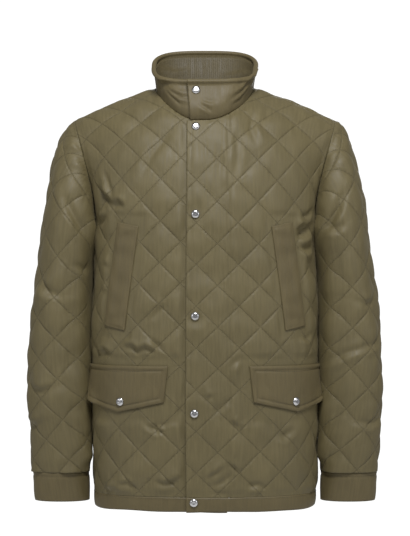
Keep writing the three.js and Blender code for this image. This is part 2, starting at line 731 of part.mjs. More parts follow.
function sleeveSurface(across, up) {
  const turn = Math.sign(across || 1);
  const angleAt = (z) => turn * halfRing(z).at(Math.abs(across));
  if (up <= SLEEVE_BEND) {
    const z = CUFF_TOP_Z + up;
    return sleeveRing(angleAt(z), z);
  }
  const { start, leaving, foot, length, pull } = sleeveHead(across);
  const angle = angleAt(BICEP_Z);
  const rise = sleeveRing(angle, BICEP_Z + 1).sub(foot).multiplyScalar(length);
  const over = leaving.clone().multiplyScalar(-length * pull);
  return hermiteVector(foot, rise, start, over, (up - SLEEVE_BEND) / length);
}

const mirrorX = (sign, point) => {
  point.x *= sign;
  return point;
};
const onSleeve = (sign) => (x, y, offset) => {
  const { point, normal } = frameOf(sleeveSurface, x, y, 1);
  return mirrorX(sign, point.addScaledVector(normal, offset));
};

function sleevePiece(sign) {
  const seamAt = (z) => halfRing(z).length - SEAM_GAP / 2;
  const straight = arc(12, (t) => {
    return [seamAt(mix(CUFF_TOP_Z, BICEP_Z, t)), mix(2 * SEAM_GAP, SLEEVE_BEND, t)];
  });
  const cap = (side) =>
    armholePaths[side].shares.slice().reverse().map((share) => {
      const across = (side === "front" ? -1 : 1) * Math.max(share * sleeveHalf, 1e-4);
      const kept = Math.sign(across) * Math.min(Math.abs(across), sleeveHalf - SEAM_GAP / 2);
      return [share === 0 ? 0 : kept, SLEEVE_BEND + sleeveHead(kept).length];
    });
  const right = [...straight, ...cap("back")];
  const left = [...straight.map(([x, y]) => [-x, y]), ...cap("front")];
  left[left.length - 1] = right.at(-1);
  const outline = [...right, ...left.slice().reverse()];
  const phase = sign > 0 ? phases.sleeve_left : phases.sleeve_right;
  const height = (x, y) => {
    const seam = smoothstep(0, SEAM_PRESS, distanceToOutline(outline, x, y));
    return quilting(x, y, phase) * seam * pressedBy(sleevePress, Math.abs(x) / sleeveHalf);
  };
  return clothMesh({ right, left, phase, place: onSleeve(sign), height });
}

// The cuff: a plain band round the end of the sleeve.
const CUFF_HEIGHT = CUFF_TOP_Z - CUFF_BOTTOM_Z;
const CUFF_BULGE = 0.9;
const CUFF_CELL = CUFF_HEIGHT / 3;
function cuffPiece(sign) {
  const edge = arc(3, (t) => {
    const z = mix(CUFF_BOTTOM_Z, CUFF_TOP_Z, t);
    return [halfRing(z).length - SEAM_GAP / 2, z - CUFF_TOP_Z];
  });
  const height = (x, y) => Math.sin((Math.PI * -y) / CUFF_HEIGHT);
  return clothMesh({
    right: edge,
    left: edge.map(([x, y]) => [-x, y]),
    phase: { across: 0, up: -CUFF_HEIGHT },
    place: onSleeve(sign),
    height,
    puff: CUFF_BULGE,
    wallAt: CUFF_WALL,
    cell: CUFF_CELL,
    material: plainCloth(),
  });
}

// Half of the neckline: share 0 is the centre and 1 the top of the shoulder seam. Below 0 the
// front's edge runs level across the centre.
function neckPoint(side, share) {
  if (share < 0) return [NECK_HALF * (Math.PI / 2) * share, neckUp[side]];
  const angle = (share * Math.PI) / 2;
  const top = shoulderUp(side, NECK_HALF);
  return [NECK_HALF * Math.sin(angle), mix(neckUp[side], top, 1 - Math.cos(angle))];
}
const neckLength = Object.fromEntries(
  ["front", "back"].map((side) => [side, measured((share) => neckPoint(side, share), 0, 1).length]),
);
const collarLength = COLLAR_UNDER + 2 * neckLength.front + 2 * neckLength.back + COLLAR_OVER;

const rimDepth = (COLLAR_RIM.back - COLLAR_RIM.front) / 2;
const rimMiddle = (COLLAR_RIM.back + COLLAR_RIM.front) / 2;
const rimCurve = (angle) => quarterPoint(COLLAR_RIM.half, rimDepth, COLLAR_RIM.squareness, angle);
const rimQuarter = measured(rimCurve, 0, Math.PI / 2);
function rimPoint(side, share) {
  const toward = side === "front" ? -1 : 1;
  const reach = share * rimQuarter.length;
  const [x, deep] = share > 0 ? rimCurve(rimQuarter.at(reach)) : [END_SPREAD * reach, rimDepth];
  const y = rimMiddle + toward * deep;
  return vector(x, y, COLLAR_RIM.level + COLLAR_RIM.tilt * y);
}

// Place along the collar, from its lower end on the wearer's left round the back to its upper end.
function collarStation(along) {
  let rest = along - COLLAR_UNDER;
  if (rest < neckLength.front) return { side: "front", sign: -1, share: rest / neckLength.front };
  rest -= neckLength.front;
  if (rest < neckLength.back) return { side: "back", sign: -1, share: 1 - rest / neckLength.back };
  rest -= neckLength.back;
  if (rest < neckLength.back) return { side: "back", sign: 1, share: rest / neckLength.back };
  rest -= neckLength.back;
  return { side: "front", sign: 1, share: 1 - rest / neckLength.front };
}

const COLLAR_SPAN = 0.02; // share of the neckline over which its direction is measured
const collarColumns = new Map();
function collarColumn(along) {
  const key = along.toFixed(3);
  if (collarColumns.has(key)) return collarColumns.get(key);
  const { side, sign, share } = collarStation(along);
  const edgePoint = neckPoint(side, share);
  const before = neckPoint(side, share - COLLAR_SPAN);
  const after = neckPoint(side, Math.min(share + COLLAR_SPAN, 1));
  const facing = side === "front" ? -1 : 1;
  const tangent = [(after[0] - before[0]) * facing, (after[1] - before[1]) * facing];
  const { start, leaving, normal } = sewnOn(side, edgePoint, tangent, COLLAR_LEAN, SEAM_GAP);
  const over = side === "front" && sign > 0 ? lapAt(edgePoint[0]) : 0;
  start.addScaledVector(normal, over * COLLAR_LAP - COLLAR_TUCK);
  const rim = rimPoint(side, share);
  const outward = vector(rim.x, rim.y - rimMiddle, 0).normalize();
  rim.y -= over * COLLAR_STEP;
  const length = 1.02 * rim.distanceTo(start);
  const rise = leaving.clone().multiplyScalar(length);
  const upright = vector(0, 0, 1).addScaledVector(outward, COLLAR_FLARE).normalize();
  const arrive = upright.multiplyScalar(length);
  const collar = { start, rise, rim, arrive, length, sign };
  collarColumns.set(key, collar);
  return collar;
}

function collarSurface(along, up) {
  const { start, rise, rim, arrive, length, sign } = collarColumn(along);
  return mirrorX(sign, hermiteVector(start, rise, rim, arrive, up / length));
}

// Sweeps a closed profile of [height, offset] along the collar, between two places on it.
function collarSweep(from, to, profileAt, material) {
  const stations = arc(Math.round(collarLength / COLLAR_STATION), (t) => t * collarLength);
  const places = [from, ...stations.filter((along) => along > from && along < to), to];
  const count = places.length - 1;
  const corners = [];
  places.forEach((along) => {
    profileAt(collarColumn(along).length).forEach(([up, offset]) => {
      const { point, normal } = frameOf(collarSurface, along, up, -1);
      corners.push(point.addScaledVector(normal, offset));
    });
  });
  const profile = profileAt(collarColumn(from).length);
  const n = profile.length;
  const triangles = [];
  for (let i = 0; i < count; i++) {
    for (let k = 0; k < n; k++) {
      const [a, b] = [i * n + k, i * n + ((k + 1) % n)];
      triangles.push([a, a + n, b + n], [a, b + n, b]);
    }
  }
  const flat = profile.map(([x, y]) => new THREE.Vector2(x, y));
  const reversed = THREE.ShapeUtils.isClockWise(flat);
  THREE.ShapeUtils.triangulateShape(flat, []).forEach((face) => {
    const turned = THREE.ShapeUtils.isClockWise(face.map((corner) => flat[corner])) === reversed;
    const [a, b, c] = turned ? face : face.slice().reverse();
    triangles.push([a, b, c], [a + count * n, c + count * n, b + count * n]);
  });
  return new THREE.Mesh(closedGeometry(corners, triangles), material);
}

const COLLAR_MIDDLE = -COLLAR_WALL / 2;
const rollAngles = arc(8, (t) => THREE.MathUtils.degToRad(mix(-50, 230, t)));
function collarProfile(length) {
  const plain = length - 2 * COLLAR_ROLL - 1;
  const outside = [[0, 0], [0.2 * plain, 0.5], [0.45 * plain, 1], [0.7 * plain, 0.9], [plain, 0]];
  const roll = rollAngles.map((angle) => [
    length - COLLAR_ROLL + COLLAR_ROLL * Math.sin(angle),
    COLLAR_MIDDLE + COLLAR_ROLL * Math.cos(angle),
  ]);
  const inside = [[plain, -COLLAR_WALL], [0.5 * plain, -COLLAR_WALL - 0.05], [0, -COLLAR_WALL]];
  return [...outside, ...roll, ...inside];
}

// The facing's corners stand level with the collar's inner ones, so that the two never cross.
function facingProfile(length) {
  const plain = length - 2 * COLLAR_ROLL - 1;
  const near = -COLLAR_WALL - FACING_GAP;
  const far = near - FACING_WALL;
  const back = [[0, far], [0.5 * plain, far - 0.05], [plain - 1, far]];
  return [[plain - 1, near], [0.5 * plain, near - 0.05], [0, near], ...back];
}

// A grid of flat points, at(s, t) with s and t from 0 to 1, filled with triangles.
function gridPiece(columns, rows, at) {
  const points = [];
  const triangles = [];
  for (let j = 0; j <= rows; j++) {
    for (let i = 0; i <= columns; i++) {
      points.push(at(i / columns, j / rows));
      if (i === columns || j === rows) continue;
      const a = j * (columns + 1) + i;
      const above = a + columns + 1;
      triangles.push([a, a + 1, above + 1], [a, above + 1, above]);
    }
  }
  return { points, triangles };
}

// A flap or welt lying on a front. flare(x, y) is how far it stands away towards the front.
function appliedPiece(sign, grid, flare = () => 0) {
  const onTop = onFront(sign);
  const place = (offset) => ([x, y]) => {
    const point = onTop(x, y, APPLIED_CLEAR + offset);
    const away = flare(x, y);
    return point.add(vector(FLARE_ASIDE * sign * away, -away, 0));
  };
  return new THREE.Mesh(wall(grid, grid, place(APPLIED_WALL), place(0)), cloth());
}

function flapPiece(sign) {
  const middle = sign > 0 ? flapMiddle.left : flapMiddle.right;
  const side = flap.top - flap.drop;
  const tipShare = (flap.half + flap.tip) / (2 * flap.half);
  const at = (s, t) => {
    const bottom = side - flap.point * (s < tipShare ? s / tipShare : (1 - s) / (1 - tipShare));
    const slant = flap.slant * (1 - t) * (1 - s);
    return [mix(middle - flap.half, middle + flap.half, s) + slant, mix(bottom, flap.top, t)];
  };
  const flare = (x, y) => {
    const outwards = smoothstep(middle + flap.curlFrom * flap.half, middle + flap.half, x);
    return flap.flare * outwards * Math.max((flap.top - y) / flap.drop, 0) ** flap.curl;
  };
  return appliedPiece(sign, gridPiece(12, 5, at), flare);
}

function weltPiece(sign) {
  const at = (s, t) => [
    mix(mix(welt.bottomInner, welt.topInner, t), mix(welt.bottomOuter, welt.topOuter, t), s),
    mix(welt.bottom, welt.top, t) + welt.rise * s,
  ];
  return appliedPiece(sign, gridPiece(3, 10, at));
}

// A domed snap cap, seated on the highest point of the cloth below it.
const CAP_SIDES = 16;
const CAP_ABOVE = 40; // rays start this far above the cloth
const capProfile = [
  [SNAP_RADIUS, 0],
  [SNAP_RADIUS, 0.7],
  [SNAP_RADIUS * 0.8, 2.1],
  [SNAP_RADIUS * 0.42, 3.3],
];
function snapCap(base, point, normal) {
  const side = vector(0, 0, 1).cross(normal).normalize();
  const rise = normal.clone().cross(side);
  const at = (radius, turn, height) => {
    const place = point.clone().addScaledVector(normal, height);
    place.addScaledVector(side, radius * Math.cos(turn));
    return place.addScaledVector(rise, radius * Math.sin(turn));
  };
  const turns = Array.from({ length: CAP_SIDES }, (_, i) => (i * 2 * Math.PI) / CAP_SIDES);
  const ray = new THREE.Raycaster();
  let seat = -Infinity;
  for (const radius of [0, 0.35, 0.7, 1]) {
    for (const turn of turns) {
      ray.set(at(radius * SNAP_RADIUS, turn, CAP_ABOVE), normal.clone().negate());
      const hit = ray.intersectObject(base)[0];
      if (hit) seat = Math.max(seat, CAP_ABOVE - hit.distance);
    }
  }
  seat += SEAM_GAP;
  const ringAt = ([radius, height]) => turns.map((turn) => at(radius, turn, seat + height));
  const corners = capProfile.flatMap(ringAt);
  const bottom = corners.push(at(0, 0, seat)) - 1;
  const top = corners.push(at(0, 0, seat + SNAP_HEIGHT)) - 1;
  const last = (capProfile.length - 1) * CAP_SIDES;
  const triangles = turns.flatMap((_, i) => {
    const next = (i + 1) % CAP_SIDES;
    const bands = capProfile.slice(1).flatMap((_, ring) => {
      const [a, b] = [ring * CAP_SIDES + i, ring * CAP_SIDES + next];
      return [[a, b, b + CAP_SIDES], [a, b + CAP_SIDES, a + CAP_SIDES]];
    });
    return [[bottom, next, i], [top, last + i, last + next], ...bands];
  });
  return new THREE.Mesh(closedGeometry(corners, triangles), metal());
}

const named = (name, mesh) => {
  mesh.name = name;
  mesh.updateMatrixWorld(true);
  return mesh;
};
const frontLeft = named("front_left", frontPiece(1));
const flapLeft = named("flap_left", flapPiece(1));
const flapRight = named("flap_right", flapPiece(-1));
const collar = named("collar", collarSweep(0, collarLength, collarProfile, cloth()));
const facingEnd = collarLength - COLLAR_OVER - COLLAR_UNDER - 2 * FACING_INSET;
const facingMesh = collarSweep(FACING_INSET, facingEnd, facingProfile, plainCloth());
const facing = named("collar_facing", facingMesh);

const hemFrontLeft = named("hem_front_left", hemBand("front", 1, -FLY_LAP));
const snaps = snapRows.map(({ name, across, up }) => {
  const { point, normal } = frontFrame(across, up);
  return named(name, snapCap(up > BAND_HEIGHT ? frontLeft : hemFrontLeft, point, normal));
});
const flapSnap = (sign, base) => {
  const middle = sign > 0 ? flapMiddle.left : flapMiddle.right;
  const { point, normal } = frontFrame(sign * (middle + flap.tip), flap.top - flap.drop);
  return snapCap(base, point, normal);
};
snaps.push(named("snap_flap_left", flapSnap(1, flapLeft)));
snaps.push(named("snap_flap_right", flapSnap(-1, flapRight)));
const collarSnap = { back: 15, up: 55 }; // from the collar's upper end, and above the neck seam
const collarFrame = frameOf(collarSurface, collarLength - collarSnap.back, collarSnap.up, -1);
snaps.push(named("snap_collar", snapCap(collar, collarFrame.point, collarFrame.normal)));

const root = new THREE.Group();
root.name = "quilted_jacket";
root.add(
  frontLeft,
  named("front_right", frontPiece(-1)),
  named("back", backPiece()),
  hemFrontLeft,
  named("hem_front_right", hemBand("front", -1, -UNDERLAP)),
  named("hem_back", hemBand("back", 1, 0)),
  named("sleeve_left", sleevePiece(1)),
  named("sleeve_right", sleevePiece(-1)),
  named("cuff_left", cuffPiece(1)),
  named("cuff_right", cuffPiece(-1)),
  collar,
  facing,
  flapLeft,
  flapRight,
  named("welt_left", weltPiece(1)),
  named("welt_right", weltPiece(-1)),
  ...snaps,
);
export default root;
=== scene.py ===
# %% [markdown]
# # A quilted jacket, filled out and fastened
# The real jacket is cut from olive cloth that has been quilted in diamonds over thin wadding.
# Its fronts, back and sleeves are flat pattern pieces that become round only when somebody
# wears them. This notebook works the same way: each piece of cloth is a flat grid of points,
# one function wraps the grid round a worn figure, and another raises the quilting and folds.
# The solids that are loaded first fix where every piece has to be.

import bpy
import numpy as np
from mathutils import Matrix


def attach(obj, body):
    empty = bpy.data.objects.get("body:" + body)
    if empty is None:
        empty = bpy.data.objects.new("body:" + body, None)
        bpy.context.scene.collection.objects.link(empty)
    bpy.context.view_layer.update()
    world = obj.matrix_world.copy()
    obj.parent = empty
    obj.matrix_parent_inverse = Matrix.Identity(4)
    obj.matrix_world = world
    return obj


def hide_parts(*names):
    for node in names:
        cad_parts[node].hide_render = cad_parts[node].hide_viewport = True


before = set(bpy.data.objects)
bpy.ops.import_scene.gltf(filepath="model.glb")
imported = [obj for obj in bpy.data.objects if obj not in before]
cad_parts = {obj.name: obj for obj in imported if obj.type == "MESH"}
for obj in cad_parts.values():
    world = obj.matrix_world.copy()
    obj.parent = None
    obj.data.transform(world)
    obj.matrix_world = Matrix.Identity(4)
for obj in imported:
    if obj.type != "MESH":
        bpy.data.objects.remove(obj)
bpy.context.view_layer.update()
MM = 0.001  # every size below is in millimetres, and meshes are in metres
print("solids to dress:", len(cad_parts))

# %% [markdown]
# ## The body of the jacket as sections
# A worn jacket is a soft box: nearly flat in front, rounded at the sides. A superellipse gives
# that with one number for its squareness, and a short table gives its size at a few heights.
# Above the chest each thread of cloth bends over to the shoulder seam on a cubic curve.

# %% Sizes of the body
HEM_Z = -728  # bottom edge below the top of the shoulder
CHEST_Z = -255  # bottom of the armholes
BAND_HEIGHT = 25  # hem band
BODY_SQUARENESS = 2.7
NECK_HALF, SHOULDER_HALF = 87, 229
SHOULDER_SLOPE, RIDGE_Y, RIDGE_TILT = 0.4, 8, 0.2
SHOULDER_ARCH = 4  # the shoulder seam's rise over a straight line
EASE = 1.09
NECK_SHARE = {"front": 0.56, "back": 0.87}
FLY_LAP, FLY_STITCH, FLY_STEP, UNDERLAP = 31, 40, 4.2, 37
FLY_FADE = 34  # past its stitches the lapping front comes back to the body over this distance
FLY_EDGE_STITCH = 7  # the line of stitches inside its free edge
CLOTH = 2.5
DIAMOND = 70
CHEST_UP = CHEST_Z - HEM_Z
TORSO = {
    "z": [-728, -650, -550, -450, -350, -255, -200],
    "half": [193, 196, 198.5, 198, 195.5, 191, 190],
    "front": [141, 146, 150, 149, 145, 140, 137],
    "back": [126, 130, 132, 131, 130, 130, 130],
}


def hermite(a, slope_a, b, slope_b, t):
    """Cubic from a to b over t from 0 to 1, leaving with slope_a and arriving with slope_b."""
    t2, t3 = t * t, t * t * t
    start, end = 2 * t3 - 3 * t2 + 1, 3 * t2 - 2 * t3
    return a * start + slope_a * (t3 - 2 * t2 + t) + b * end + slope_b * (t3 - t2)


def section(table, key, z):
    """A table's column at height z: a cubic through its rows, level with each row's neighbours."""
    rows, values = np.array(table["z"], float), np.array(table[key], float)
    before, after = np.r_[0, : len(rows) - 1], np.r_[1 : len(rows), len(rows) - 1]
    slopes = (values[after] - values[before]) / (rows[after] - rows[before])
    k = np.clip(np.searchsorted(rows, z) - 1, 0, len(rows) - 2)
    span = rows[k + 1] - rows[k]
    t = (z - rows[k]) / span
    return hermite(values[k], slopes[k] * span, values[k + 1], slopes[k + 1] * span, t)


def quarter(half, depth, squareness, angle):
    """Superellipse: half sin^(2/n) across, depth cos^(2/n) out, from ahead to the side."""
    power = 2 / squareness
    return half * np.sin(angle) ** power, depth * np.abs(np.cos(angle)) ** power


def arc_lengths(*coordinates):
    """Running length of a curve given by rows of coordinates."""
    steps = np.sqrt(sum(np.diff(values, axis=-1) ** 2 for values in coordinates))
    return np.concatenate([np.zeros(steps.shape[:-1] + (1,)), np.cumsum(steps, axis=-1)], axis=-1)


QUARTER_ANGLES = np.linspace(0, np.pi / 2, 1001)
CHEST_ARC = {}
for side in ("front", "back"):
    chest = quarter(
        section(TORSO, "half", CHEST_Z), section(TORSO, side, CHEST_Z), BODY_SQUARENESS, QUARTER_ANGLES
    )
    CHEST_ARC[side] = arc_lengths(*chest)
QUARTER_LENGTH = {side: CHEST_ARC[side][-1] for side in CHEST_ARC}
print("cloth from centre to side seam, mm:", {k: round(v) for k, v in QUARTER_LENGTH.items()})

# %% [markdown]
# ## Wrapping flat cloth round the figure
# A point of a pattern piece is (across, up) in millimetres along the weave. Below the chest it
# goes round the section at its height. Above, it follows a cubic that starts straight up the
# chest and ends level at the shoulder seam, so front and back meet there in one smooth ridge.


# %% The wrapping function
def stack(x, y, z):
    return np.stack(np.broadcast_arrays(x, y, z), axis=-1).astype(float)


def unit(vectors):
    return vectors / np.maximum(np.linalg.norm(vectors, axis=-1, keepdims=True), 1e-12)


def body_ring(side, reach, z):
    angle = np.interp(reach, CHEST_ARC[side], QUARTER_ANGLES)
    x, y = quarter(section(TORSO, "half", z), section(TORSO, side, z), BODY_SQUARENESS, angle)
    return stack(x, -y if side == "front" else y, z)


def shoulder_ridge(reach):
    """Line of the shoulder seam, falling outwards at a steady slope and rounded over the neck."""
    past = np.maximum(reach - SHOULDER_HALF, 0)
    share = np.clip((reach - NECK_HALF) / (SHOULDER_HALF - NECK_HALF), 0, 1)
    straight = SHOULDER_ARCH * np.sin(np.pi * share) ** 2 - SHOULDER_SLOPE * (reach - NECK_HALF - past) - past
    rounded = SHOULDER_SLOPE * (NECK_HALF**2 - reach**2) / (2 * NECK_HALF)
    return stack(reach - 0.5 * past, RIDGE_Y, np.where(reach < NECK_HALF, rounded, straight))


def chest_to_shoulder(side, reach):
    low = body_ring(side, reach, np.full_like(reach, CHEST_Z))
    high = shoulder_ridge(reach)
    length = EASE * np.linalg.norm(high - low, axis=-1)
    rise = (body_ring(side, reach, np.full_like(reach, CHEST_Z + 1.0)) - low) * length[..., None]
    level = unit(stack(0, 1 if side == "front" else -1, RIDGE_TILT)) * length[..., None]
    return low, high, rise, level, length


def body(side):
    """The map from flat cloth to the figure for one side, as a function of (across, up)."""

    def surface(across, up):
        reach = np.abs(across)
        below = body_ring(side, reach, HEM_Z + np.minimum(up, CHEST_UP))
        low, high, rise, level, length = chest_to_shoulder(side, reach)
        t = ((np.maximum(up, CHEST_UP) - CHEST_UP) / length)[..., None]
        above = hermite(low, rise, high, level, t)
        point = np.where((up <= CHEST_UP)[..., None], below, above)
        point[..., 0] *= np.where(across < 0, -1, 1)
        return point

    return surface


def frame_of(surface, across, up, outward):
    """Point, unit normal and the two directions of the cloth, from half a millimetre either way."""
    along = unit(surface(across + 0.5, up) - surface(across - 0.5, up))
    rise = unit(surface(across, up + 0.5) - surface(across, up - 0.5))
    return surface(across, up), unit(np.cross(along, rise)) * outward, along, rise


front_of_body, back_of_body = body("front"), body("back")


def body_frame(side, across, up):
    surface = front_of_body if side == "front" else back_of_body
    return frame_of(surface, across, up, 1 if side == "front" else -1)


def shoulder_up(side, reach):
    reach = np.asarray(reach, float)
    return CHEST_UP + chest_to_shoulder(side, reach)[4]


NECK_UP = {
    side: CHEST_UP + NECK_SHARE[side] * (float(shoulder_up(side, 0.0)) - CHEST_UP)
    for side in ("front", "back")
}
print("front neck point, mm:", np.round(front_of_body(np.array(0.0), np.array(NECK_UP["front"]))))

# %% [markdown]
# ## The camera and the light
# The photograph was taken straight on from a few metres away, in soft even light with a little
# more from above. The camera is set first.

# %% Camera, backdrop and lamps
CAMERA_DISTANCE, CAMERA_HEIGHT = 3200, -317
PIXEL_AT_MIDDLE = 1.76  # mm of the jacket's middle plane in one pixel of the photograph
PHOTO_LONG_SIDE = 536
SENSOR = 36
camera_data = bpy.data.cameras.new("camera")
camera_data.sensor_width = SENSOR
camera_data.lens = SENSOR * CAMERA_DISTANCE / (PHOTO_LONG_SIDE * PIXEL_AT_MIDDLE)
camera = bpy.data.objects.new("camera", camera_data)
camera.location = (0, -CAMERA_DISTANCE * MM, CAMERA_HEIGHT * MM)
camera.rotation_euler = (np.pi / 2, 0, 0)
bpy.context.collection.objects.link(camera)
bpy.context.scene.camera = camera
print("lens, mm:", round(camera_data.lens, 1))


def linear(hex_colour):
    """sRGB hex to linear RGBA: the lower end is divided by 12.92, the rest is a power of 2.4."""
    value = np.array([int(hex_colour[i : i + 2], 16) for i in (1, 3, 5)]) / 255
    low = value <= 0.04045
    return (*np.where(low, value / 12.92, ((value + 0.055) / 1.055) ** 2.4).tolist(), 1.0)


def area_lamp(name, place, size, power):
    lamp = bpy.data.lights.new(name, "AREA")
    lamp.shape, lamp.size, lamp.energy = "SQUARE", size, power
    holder = bpy.data.objects.new(name, lamp)
    holder.location = place
    aim = np.array([0, 0, CAMERA_HEIGHT * MM]) - np.array(place)
    x, y, z = aim / np.linalg.norm(aim)
    holder.rotation_euler = (np.arccos(-z), 0, np.arctan2(-x, y))
    bpy.context.collection.objects.link(holder)


area_lamp("key_above", (0.1, -1.9, 1.8), 1.0, 76)
area_lamp("fill_left", (-2.4, -1.5, 0.2), 1.4, 12)
area_lamp("fill_right", (2.4, -1.7, 0.3), 1.4, 13)
area_lamp("back_low", (0.3, 2.7, 0.5), 1.4, 26)
WORLD_LIGHT, WORLD_SEEN = 0.24, 1.1
world = bpy.data.worlds.new("studio")
world.use_nodes = True
sky = world.node_tree.nodes["Background"]
sky.inputs["Color"].default_value = (1, 1, 1, 1)
seen = world.node_tree.nodes.new("ShaderNodeMapRange")  # the white paper behind is lit apart
seen.inputs["To Min"].default_value, seen.inputs["To Max"].default_value = WORLD_LIGHT, WORLD_SEEN
path_kind = world.node_tree.nodes.new("ShaderNodeLightPath")
world.node_tree.links.new(path_kind.outputs["Is Camera Ray"], seen.inputs["Value"])
world.node_tree.links.new(seen.outputs[0], sky.inputs["Strength"])
bpy.context.scene.world = world
bpy.context.scene.view_settings.view_transform = "Standard"

# %% [markdown]
# ## Cutting a panel along its quilting
# A plain grid would cross the slanting stitch lines in steps. Here the grid is the lattice of the
# quilting itself, with twenty cells or more to a diamond. Each cell is split along the stitch
# line that runs through it, so every line of stitches is a clean crease. Points that fall outside the
# pattern piece slide in to its edge, and the triangles that this flattens to nothing are dropped.

# %% A grid that follows the quilting
CELLS = 26  # grid cells across one diamond
BACK_CELLS = 20  # and on the back, which is one large piece
NEAR_EDGE = 0.35  # a lattice point closer to an edge than this share of a cell moves onto it


def row_levels(bottom, top, start, extra=(), cells=CELLS):
    """Heights of the grid's rows: the lattice's own, the two ends, and some extra ones."""
    step = DIAMOND / cells
    lattice = start + step * np.arange(np.ceil((bottom - start) / step), np.ceil((top - start) / step))
    inside = (lattice > bottom + NEAR_EDGE * step) & (lattice < top - NEAR_EDGE * step)
    return np.unique(np.r_[bottom, lattice[inside], np.array(extra, float), top])


def join_equal(points, triangles):
    """Points that lie in one place become one, and triangles without area go."""
    _, first, inverse = np.unique(np.round(points, 4), axis=0, return_index=True, return_inverse=True)
    points, triangles = points[first], inverse.reshape(-1)[triangles]
    a, b, c = (points[triangles[:, k]] for k in range(3))
    area = (b[:, 0] - a[:, 0]) * (c[:, 1] - a[:, 1]) - (c[:, 0] - a[:, 0]) * (b[:, 1] - a[:, 1])
    return points, triangles[np.abs(area) > 1e-5]


def cut_grid(left, right, levels, phase, cells=CELLS):
    """Points and triangles of the cloth between the edges left(up) and right(up)."""
    step = DIAMOND / cells
    low, high = left(levels)[:, None], right(levels)[:, None]
    columns = np.arange(np.floor((low.min() - phase[0]) / step), np.ceil((high.max() - phase[0]) / step) + 1)
    across = np.clip(phase[0] + columns * step + 0 * low, low, high)
    across = np.where(across - low < NEAR_EDGE * step, low, across)
    across = np.where(high - across < NEAR_EDGE * step, high, across)
    up = levels[:, None] + 0 * across
    points = np.stack([across, up], axis=-1).reshape(-1, 2)
    index = np.arange(len(points)).reshape(across.shape)
    a, b, c, d = index[:-1, :-1], index[:-1, 1:], index[1:, 1:], index[1:, :-1]
    row = (levels[:-1, None] - phase[1]) / step
    falling = np.abs((columns[None, :-1] + 1 + row + 0.5) % cells - 0.5) < 0.1
    first = np.where(falling[..., None], np.stack([a, b, d], -1), np.stack([a, b, c], -1))
    second = np.where(falling[..., None], np.stack([b, c, d], -1), np.stack([a, c, d], -1))
    return join_equal(points, np.concatenate([first.reshape(-1, 3), second.reshape(-1, 3)]))


def mirrored(points, triangles):
    """The piece with its mirror image joined on along the centre line."""
    both = np.concatenate([points, points * (-1, 1)])
    return join_equal(both, np.concatenate([triangles, triangles[:, ::-1] + len(points)]))


def smoothstep(start, end, x):
    """Eases from 0 at start to 1 at end, whichever of the two is larger."""
    t = np.clip((x - start) / (end - start), 0, 1)
    return t * t * (3 - 2 * t)


def mix(a, b, t):
    return a + (b - a) * t


def path_distance(path, x, y):
    """Distance to a line of straight pieces, the share of its length there, and the side."""
    path = np.asarray(path, float)
    steps = np.diff(path, axis=0)
    lengths = np.hypot(*steps.T)
    before = np.r_[0, np.cumsum(lengths)[:-1]] / lengths.sum()
    best, share, side = np.full(np.shape(x), np.inf), np.zeros(np.shape(x)), np.ones(np.shape(x))
    for (ax, ay), (dx, dy), length, start in zip(path[:-1], steps, lengths, before):
        t = np.clip(((x - ax) * dx + (y - ay) * dy) / max(length**2, 1e-9), 0, 1)
        distance = np.hypot(x - ax - t * dx, y - ay - t * dy)
        nearer = distance < best
        best = np.where(nearer, distance, best)
        share = np.where(nearer, start + t * length / lengths.sum(), share)
        side = np.where(nearer, np.sign(dx * (y - ay) - dy * (x - ax)), side)
    return best, share, side


# %% [markdown]
# ## Quilting, folds and small wrinkles
# The wadding lifts the cloth between the stitch lines. The height of one diamond is the square
# root of two crossed sines, which is round in the middle and falls steeply to the stitches.
# No two diamonds of a real jacket are filled alike, so each has its own height. Folds are placed
# where the photograph shows them: a trough with a lip of pushed-up cloth beside it.

# %% Heights of the cloth
PUFF = 4.0  # middle of an average diamond above its stitch lines
SEAM_PRESS = 16  # the wadding thins out over this distance from a seam
FOLD_STRENGTH = 1.5  # the depths in the tables of folds are multiplied by this
LIP_SHARE = 0.7  # height of a fold's lip over the depth of its trough
SWELL_SHARE = 0.4  # and of the wider swelling behind it


def hashed(a, b, seed):
    """A steady pseudo-random value from 0 to 1 for each pair of whole numbers."""
    value = np.sin(a * 127.1 + b * 311.7 + seed * 74.7) * 43758.5453
    return value - np.floor(value)


def quilting(x, y, phase, seed):
    """Square root of two crossed sines, each diamond with a height of its own."""
    a, b = (x - phase[0]) / DIAMOND, (y - phase[1]) / DIAMOND
    rising, falling = a - b, a + b
    share = 0.72 + 0.5 * hashed(np.floor(rising + 1e-6), np.floor(falling + 1e-6), seed)
    return np.sqrt(np.abs(np.sin(np.pi * rising) * np.sin(np.pi * falling))) * share


def wrinkles(x, y, seed):
    """Sum of slow sine waves in scattered directions, each bent by a slower one."""
    rng = np.random.default_rng(seed)
    total = np.zeros(np.shape(x))
    for wavelength, size in ((150, 0.8), (96, 0.6), (61, 0.4), (39, 0.26), (25, 0.16)):
        for turn, start, bend in rng.uniform(0, 2 * np.pi, (3, 3)):
            run = x * np.cos(turn) + y * np.sin(turn)
            aside = y * np.cos(turn) - x * np.sin(turn)
            wave = 2 * np.pi * run / wavelength + start + 0.9 * np.sin(aside / wavelength * 2.3 + bend)
            total += size / np.sqrt(3) * np.sin(wave)
    return total


def folds(x, y, table):
    """Each row is depth, width and points: a trough that fades at both ends, its lip on the left."""
    total = np.zeros(np.shape(x))
    for depth, width, *path in table:
        distance, share, side = path_distance(path, x, y)
        fade = np.sin(np.pi * np.clip(share, 0.02, 0.98)) ** 0.7
        trough = np.exp(-((distance / width) ** 2))
        lip = np.exp(-(((distance * side - 1.7 * width) / (1.2 * width)) ** 2))
        swell = np.exp(-(((distance * side - 3.6 * width) / (2.6 * width)) ** 2))
        total += depth * fade * (LIP_SHARE * lip + SWELL_SHARE * swell - trough)
    return FOLD_STRENGTH * total


